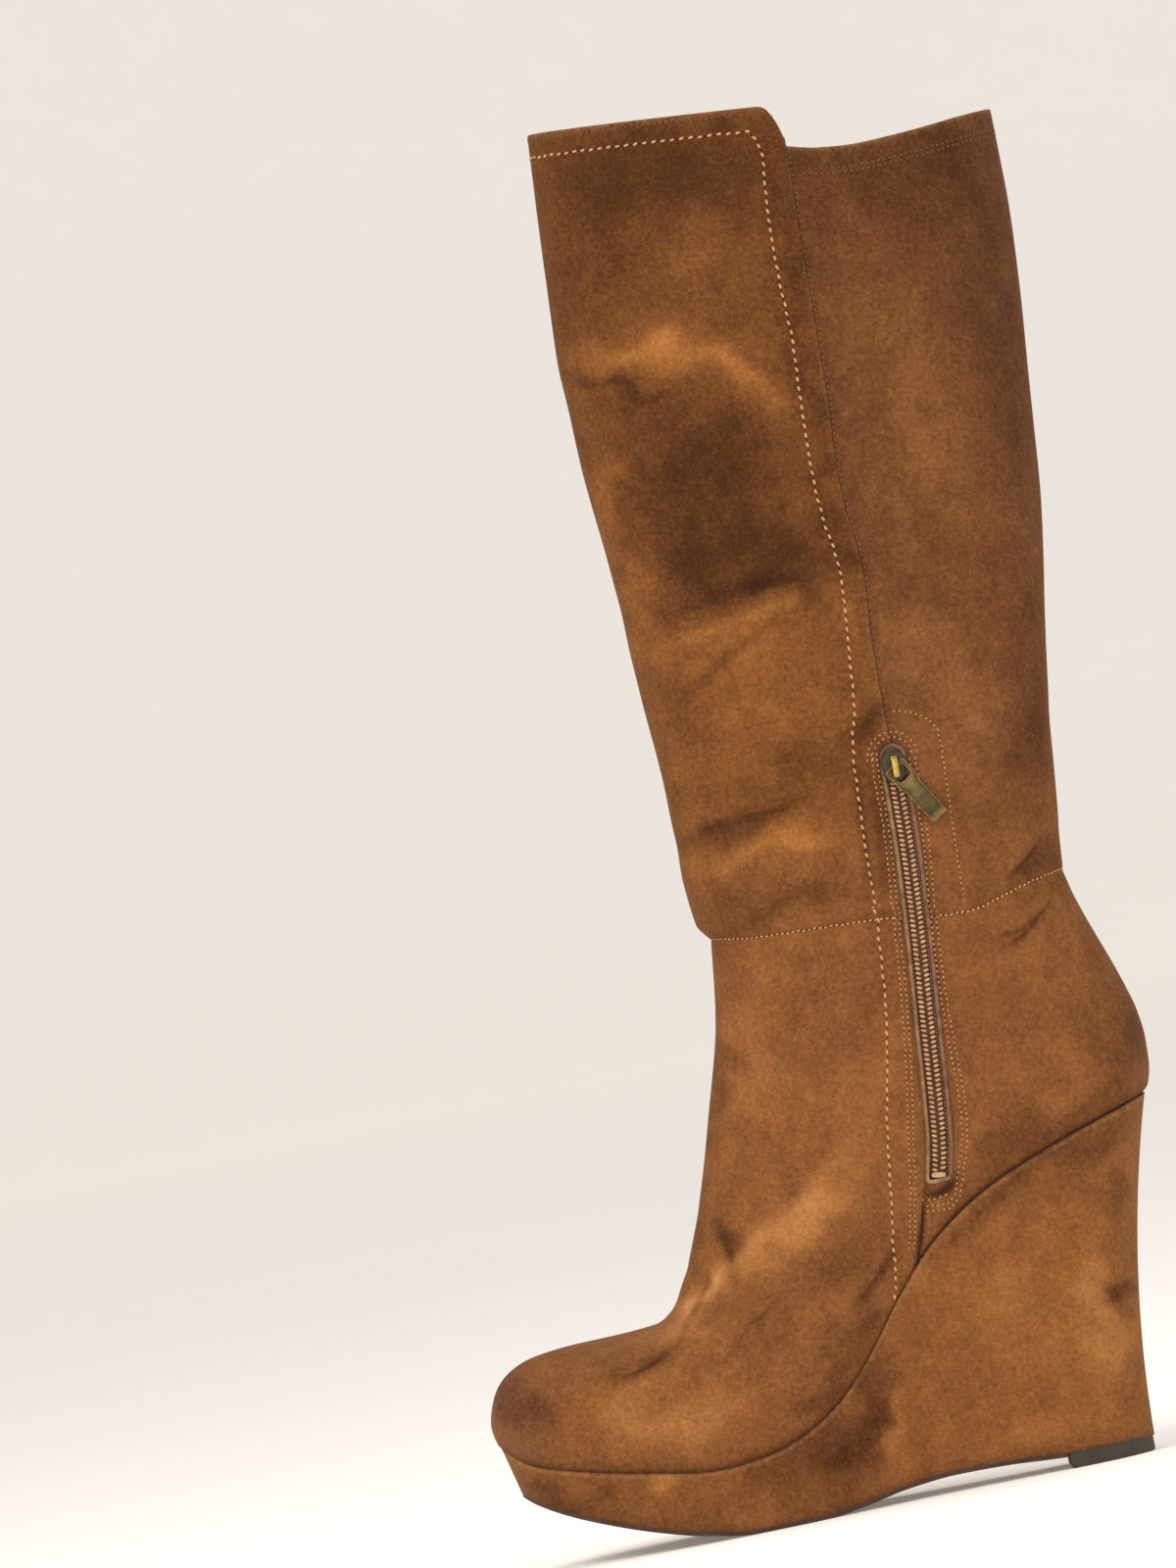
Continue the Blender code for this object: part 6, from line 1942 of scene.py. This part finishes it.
def suede_nap_and_painted_light() -> bpy.types.NodeTree:
    """The suede's effect: colour, roughness and height from four sizes of mottling over the stored tone of
    nap and painted light, pulled towards violet, painted shade and painted highlight where those are stored."""
    group, sheet, given, wanted = new_group(
        "suede_nap_and_painted_light",
        (("Place", "vector"), ("NapAndLight", "float"), ("Violet", "float"), ("SeamShade", "float"), ("EdgeHighlight", "float")),
        (("Color", "colour"), ("Roughness", "float"), ("Height", "float")),
    )
    place = given["Place"]
    broad = sheet.noise(place, 26.0, 3.0)
    patch = sheet.noise(sheet.stretched(place, (1.0, 1.0, 0.75)), 105.0, 4.0, 0.6)
    fine = sheet.noise(place, 620.0, 4.0, 0.65)
    fibre = sheet.noise(sheet.stretched(place, (1.0, 1.0, 0.55)), 2300.0, 3.0, 0.7)
    tone = given["NapAndLight"]
    for noise, weight in ((broad, 0.17), (patch, 0.26), (fine, 0.45), (fibre, 0.42)):
        tone = sheet.sum("ADD", tone, sheet.sum("MULTIPLY", noise, weight))
    base = sheet.ramp(tone, SUEDE_STOPS)
    violet = sheet.mix(given["Violet"], base, sheet.ramp(tone, VIOLET_STOPS))
    # Painted shade along seams and edges: the colour pulled towards a dark brown.
    dark = sheet.mix(sheet.sum("MULTIPLY", given["SeamShade"], 0.75), violet, tint("2c1a10"))
    # Painted highlight on rolled edges: the colour pulled, mottled, towards a light tan.
    highlight_share = sheet.sum("MULTIPLY", given["EdgeHighlight"], sheet.sum("ADD", sheet.sum("MULTIPLY", fine, 1.6), 0.42))
    sheet.feed(wanted["Color"], sheet.mix(highlight_share, dark, tint("b98d63")))
    sheet.feed(wanted["Roughness"], sheet.sum("ADD", sheet.sum("MULTIPLY", fine, 0.25), 0.9, clamp=True))
    height = sheet.sum("ADD", sheet.sum("MULTIPLY", fine, 0.6), sheet.sum("MULTIPLY", fibre, 0.55))
    height = sheet.sum("ADD", height, sheet.sum("MULTIPLY", patch, 0.9))
    sheet.feed(wanted["Height"], height)
    return group


def spotted(name: str, coarse: float, fine: float) -> bpy.types.NodeTree:
    """A shared effect: two sizes of mottling as one mask about a half and one height."""
    group, sheet, given, wanted = new_group(
        name, (("Place", "vector"),), (("Mask", "float"), ("Height", "float"))
    )
    low, high = sheet.noise(given["Place"], coarse, 3.0), sheet.noise(given["Place"], fine, 3.0, 0.65)
    both = sheet.sum("ADD", sheet.sum("MULTIPLY", low, 1.4), sheet.sum("MULTIPLY", high, 1.1))
    sheet.feed(wanted["Mask"], sheet.sum("ADD", both, 0.5, clamp=True))
    sheet.feed(wanted["Height"], high)
    return group


SUEDE_STOPS = (
    (0.0, "2d190e"), (0.22, "4b2b15"), (0.40, "6c4220"), (0.55, "89562a"), (0.72, "a56d39"),
    (1.0, "c99158"),
)
VIOLET_STOPS = (
    (0.0, "2a1812"), (0.22, "45291e"), (0.40, "623f2f"), (0.55, "7c543f"), (0.72, "94694f"),
    (1.0, "b4896a"),
)


@dataclass(frozen=True)
class Finish:
    """A finish: its colours, the sizes of its mottling and its shader's constants."""

    name: str
    dark: str = "000000"
    light: str = "ffffff"
    coarse: float = 120.0
    fine: float = 1500.0
    roughness: float = 0.7
    metallic: float = 0.0
    sheen: float = 0.0
    coat: float = 0.0
    specular: float = 0.5
    bump: float = 0.1 * MM
    glow: float = 0.0
    glow_colour: str = "ffffff"

    def begin(self) -> tuple[bpy.types.Material, Sheet, bpy.types.Node, bpy.types.NodeSocket]:
        """A material with a shader that has this finish's constants, and the object's own places."""
        material = bpy.data.materials.new(self.name)
        material.use_nodes = True
        material.node_tree.nodes.clear()
        sheet = Sheet(material.node_tree)
        shader = sheet.add("ShaderNodeBsdfPrincipled")
        shader.inputs["Roughness"].default_value = self.roughness
        shader.inputs["Metallic"].default_value = self.metallic
        shader.inputs["Sheen Weight"].default_value = self.sheen
        shader.inputs["Coat Weight"].default_value = self.coat
        shader.inputs["Specular IOR Level"].default_value = self.specular
        shader.inputs["Emission Color"].default_value = tint(self.glow_colour)
        shader.inputs["Emission Strength"].default_value = self.glow
        out = sheet.add("ShaderNodeOutputMaterial")
        sheet.feed(out.inputs["Surface"], shader.outputs[0])
        place = sheet.add("ShaderNodeTexCoord").outputs["Object"]
        return material, sheet, shader, place

    def raise_bump(self, sheet: Sheet, shader: bpy.types.Node, height: object) -> None:
        """Feeds a height to the shader's normal through a bump of this finish's depth."""
        bump = sheet.add("ShaderNodeBump")
        bump.inputs["Distance"].default_value = self.bump
        sheet.feed(bump.inputs["Height"], height)
        sheet.feed(shader.inputs["Normal"], bump.outputs[0])

    def begin_spots(self) -> tuple:
        """What begin gives but the places, then the mask and the height of the finish's mottling."""
        material, sheet, shader, place = self.begin()
        group = spotted(f"{self.name}_spots", self.coarse, self.fine)
        effect = sheet.add("ShaderNodeGroup", node_tree=group)
        sheet.feed(effect.inputs["Place"], place)
        return material, sheet, shader, effect.outputs["Mask"], effect.outputs["Height"]

    def material(self) -> bpy.types.Material:
        """The finish: its two colours mixed by two sizes of mottling, with a fine bump."""
        material, sheet, shader, mask, height = self.begin_spots()
        sheet.feed(shader.inputs["Base Color"], sheet.mix(mask, tint(self.dark), tint(self.light)))
        self.raise_bump(sheet, shader, height)
        return material


@dataclass(frozen=True)
class SuedeFinish(Finish):
    """Brushed suede that reads its nap tone with painted light, violet, painted seam shade and painted edge
    highlight from the piece.
    """

    def material(self) -> bpy.types.Material:
        """The suede, from the shared effect of the nap and its painted light."""
        material, sheet, shader, place = self.begin()
        effect = sheet.add("ShaderNodeGroup", node_tree=suede_nap_and_painted_light())
        sheet.feed(effect.inputs["Place"], place)
        for socket, name in (("NapAndLight", "nap_and_light"), ("Violet", "violet"), ("SeamShade", "seam_shade"), ("EdgeHighlight", "edge_highlight")):
            sheet.feed(effect.inputs[socket], sheet.stored(name))
        sheet.feed(shader.inputs["Base Color"], effect.outputs["Color"])
        sheet.feed(shader.inputs["Roughness"], effect.outputs["Roughness"])
        shader.inputs["Sheen Roughness"].default_value = 0.45
        shader.inputs["Sheen Tint"].default_value = tint("e0b890")
        self.raise_bump(sheet, shader, effect.outputs["Height"])
        return material


@dataclass(frozen=True)
class BrassWithPaintedHighlight(Finish):
    """Old brass with a painted highlight on its bevels, where the piece stores it."""

    # Colour of the painted highlight.
    bright: str = "b49a5c"

    def material(self) -> bpy.types.Material:
        """Mottled brass, with the stored painted highlight."""
        material, sheet, shader, mask, height = self.begin_spots()
        old = sheet.mix(mask, tint(self.dark), tint(self.light))
        uneven = sheet.sum("ADD", mask, 0.1)
        share = sheet.sum("MULTIPLY", sheet.stored("bevel_highlight"), uneven, clamp=True)
        sheet.feed(shader.inputs["Base Color"], sheet.mix(share, old, tint(self.bright)))
        self.raise_bump(sheet, shader, height)
        return material


@dataclass(frozen=True)
class BindingFinish(Finish):
    """The rolled binding: tan in front, pinkish behind, brown over the crown."""

    tan: str = "b38a64"
    pink: str = "936c52"
    brown: str = "8e6b50"

    def material(self) -> bpy.types.Material:
        """Three colours by two stored values, mottled."""
        material, sheet, shader, mask, height = self.begin_spots()
        two = sheet.mix(sheet.stored("pinkish"), tint(self.tan), tint(self.pink))
        three = sheet.mix(sheet.stored("brown"), two, tint(self.brown))
        shade = sheet.mix(mask, tint(self.dark), tint(self.light))
        sheet.feed(shader.inputs["Base Color"], sheet.mix(1.0, three, shade, "MULTIPLY"))
        self.raise_bump(sheet, shader, height)
        return material


FINISHES = {
    "suede": SuedeFinish("brushed_suede", roughness=0.92, sheen=0.12, specular=0.08, bump=0.32 * MM),
    "binding": BindingFinish("binding", "8a8078", "ffffff", 300.0, 2600.0, 0.85, specular=0.2, bump=0.12 * MM),
    "thick": Finish("thick_thread", "a87a4e", "dcad7e", 400.0, 5200.0, 0.62, specular=0.3, bump=0.12 * MM),
    "thin": Finish("thin_thread", "96633c", "cf9868", 400.0, 5200.0, 0.65, specular=0.3, bump=0.08 * MM),
    "seam": Finish("seam_thread", "a47342", "d8a06c", 400.0, 5200.0, 0.65, specular=0.3, bump=0.08 * MM),
    "dark": Finish("dark_thread", "5a3826", "87593c", 400.0, 5200.0, 0.7, specular=0.25, bump=0.08 * MM),
    # Dark discs between stitches: painted shade in the needle holes.
    "hole": Finish("needle_hole_shade", "1c100a", "2e1b11", 400.0, 4000.0, 0.95, specular=0.05),
    "lining": Finish("lining_cloth", "8d765e", "b09878", 90.0, 2400.0, 0.9, specular=0.15, bump=0.15 * MM),
    "sock": Finish("sock_cloth_face", "8a705a", "a88c70", 60.0, 1800.0, 0.85, specular=0.2, bump=0.15 * MM),
    "rubber": Finish("sole_rubber_face", "35271f", "523f36", 90.0, 1300.0, 0.75, specular=0.35, bump=0.12 * MM),
    "tip": Finish("tip_rubber_face", "2f2921", "473f33", 110.0, 1400.0, 0.68, specular=0.35, bump=0.12 * MM),
    "tape": Finish("tape_cloth_face", "54362a", "7a523c", 300.0, 3200.0, 0.9, specular=0.15, bump=0.12 * MM),
    "coil": Finish("coil_nylon_face", "8e6442", "d8aa84", 300.0, 2500.0, 0.42, specular=0.5, bump=0.04 * MM),
    "shield": Finish("shield_brass", "2b2314", "4e4024", 350.0, 2600.0, 0.5, 0.35, bump=0.05 * MM),
    "bridge": Finish("bridge_brass", "86692c", "c9a95c", 350.0, 2600.0, 0.25, 0.95, bump=0.03 * MM),
    "pull": BrassWithPaintedHighlight("pull_brass", "2a1f0e", "4a3b1d", 330.0, 2400.0, 0.5, 0.35,
                        specular=0.25, bump=0.05 * MM),
    "backdrop": Finish("backdrop_paper", "f3f1ef", "f7f5f3", 1.5, 30.0, 0.95, specular=0.0, bump=0.0,
                       glow=0.19, glow_colour="fff0e2"),
}


def wear_finish(piece: bpy.types.Object, finish: str) -> None:
    """Gives a piece one finish, making its material the first time."""
    known = bpy.data.materials.get(FINISHES[finish].name)
    material = known if known else FINISHES[finish].material()
    piece.data.materials.clear()
    piece.data.materials.append(material)
    LOG.info("%s: %d faces, %s", piece.name, len(piece.data.polygons), material.name)


@dataclass
class Studio:
    """A pale sweep, soft lights and the camera at the photo's angle."""

    sweep_width: float = 30.0
    sweep_start: float = -12.0
    sweep_depth: float = 9.0
    sweep_height: float = 9.0
    sweep_bend: float = 2.5
    distance: float = 5.6
    frame_width: float = 0.42
    centre_x: float = -0.1359
    centre_z: float = 0.2727
    roll: float = 11.3
    sensor: float = 36.0
    ambient: float = 0.7

    def build_sweep(self) -> None:
        """Floor and back wall in one sheet, joined by a quarter circle."""
        turn = np.linspace(0, math.pi / 2, 24)
        bend = np.stack([
            self.sweep_depth + self.sweep_bend * np.sin(turn), self.sweep_bend * (1 - np.cos(turn))
        ], axis=1)
        top = (self.sweep_depth + self.sweep_bend, self.sweep_height)
        line = np.concatenate([[(self.sweep_start, 0.0)], bend, [top]])
        across = np.linspace(-self.sweep_width / 2, self.sweep_width / 2, 12)
        x, index = np.meshgrid(across, np.arange(len(line)), indexing="xy")
        points = np.stack([x, line[index, 0], line[index, 1]], axis=-1).reshape(-1, 3)
        sweep = mesh_piece("backdrop", points, [grid_cells(len(line), len(across))])
        wear_finish(sweep, "backdrop")

    def add_light(
        self, name: str, place: tuple, target: tuple, size: tuple, energy: float, colour: str = "ffffff"
    ) -> None:
        """A soft rectangular light that faces a target."""
        data = bpy.data.lights.new(name, "AREA")
        data.shape = "RECTANGLE"
        data.size, data.size_y = size
        data.energy = energy
        data.color = tint(colour)[:3]
        lamp = bpy.data.objects.new(name, data)
        lamp.location = place
        way = Vector(target) - Vector(place)
        lamp.rotation_euler = way.to_track_quat("-Z", "Y").to_euler()
        bpy.context.scene.collection.objects.link(lamp)

    def add_lights(self) -> None:
        """A key from the front and above, a fill, a low front light and one over the backdrop."""
        middle = (-0.08, 0.0, 0.22)
        self.add_light("key", (-1.2, -1.5, 1.7), middle, (1.1, 1.1), 27.0, "fffaf2")
        self.add_light("fill", (1.9, -1.5, 0.9), middle, (1.4, 1.8), 12.0, "f4f7ff")
        self.add_light("low", (-0.2, -2.4, 0.35), middle, (1.6, 0.9), 9.0)
        self.add_light("top", (0.0, 0.3, 2.4), (0.0, 0.0, 0.2), (2.2, 1.6), 10.0)
        world = bpy.context.scene.world or bpy.data.worlds.new("world")
        bpy.context.scene.world = world
        world.use_nodes = True
        ground = world.node_tree.nodes.get("Background")
        ground.inputs[0].default_value = tint("f6f4f0")
        ground.inputs[1].default_value = self.ambient

    def add_camera(self) -> None:
        """The camera: level, at the photo's height, rolled as the photo's ground line is."""
        data = bpy.data.cameras.new("camera")
        data.sensor_width = self.sensor
        data.lens = self.sensor * self.distance / (self.frame_width * 4 / 3)
        camera = bpy.data.objects.new("camera", data)
        turn = math.radians(self.roll)
        right = Vector((math.cos(turn), 0.0, -math.sin(turn)))
        up = Vector((math.sin(turn), 0.0, math.cos(turn)))
        axes = Matrix((right, up, right.cross(up))).transposed().to_4x4()
        axes.translation = Vector((self.centre_x, -self.distance, self.centre_z))
        camera.matrix_world = axes
        bpy.context.scene.collection.objects.link(camera)
        bpy.context.scene.camera = camera


def main() -> None:
    """Builds the pieces in order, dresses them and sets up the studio."""
    logging.basicConfig(level=logging.INFO, format="%(name)s %(message)s")
    panels = (
        SuedePanel("vamp", "upper", True, True, 150, 180),
        SuedePanel("quarter", "upper", False, True, 140, 220),
        SuedePanel("shin_panel", "shaft", True, False, 210, 170),
        SuedePanel("calf_panel", "shaft", False, False, 210, 190),
    )
    for panel in panels:
        wear_finish(panel.build(), "suede")
    wear_finish(Lining().build(), "lining")
    wear_finish(CoveredWedge().build(), "suede")
    soles = Soles()
    wear_finish(soles.build_outsole(), "rubber")
    wear_finish(soles.build_tip(), "tip")
    wear_finish(soles.build_sock(), "sock")
    fastener = ZipFastener()
    wear_finish(fastener.build_tape(), "tape")
    beads, sewing = fastener.build_coil()
    wear_finish(beads, "coil")
    wear_finish(sewing, "thin")
    wear_finish(fastener.build_stop(), "coil")
    wear_finish(fastener.build_roll(), "binding")
    hardware = SliderAndPull()
    shield, bridge = hardware.build_slider()
    wear_finish(shield, "shield")
    wear_finish(bridge, "bridge")
    wear_finish(hardware.build_pull(), "pull")
    for piece, finish in zip(Stitching().build(), ("thick", "thin", "dark", "seam", "hole")):
        wear_finish(piece, finish)
    studio = Studio()
    studio.build_sweep()
    studio.add_lights()
    studio.add_camera()
    bpy.context.scene.view_settings.view_transform = "Standard"


if __name__ == "__main__":
    main()
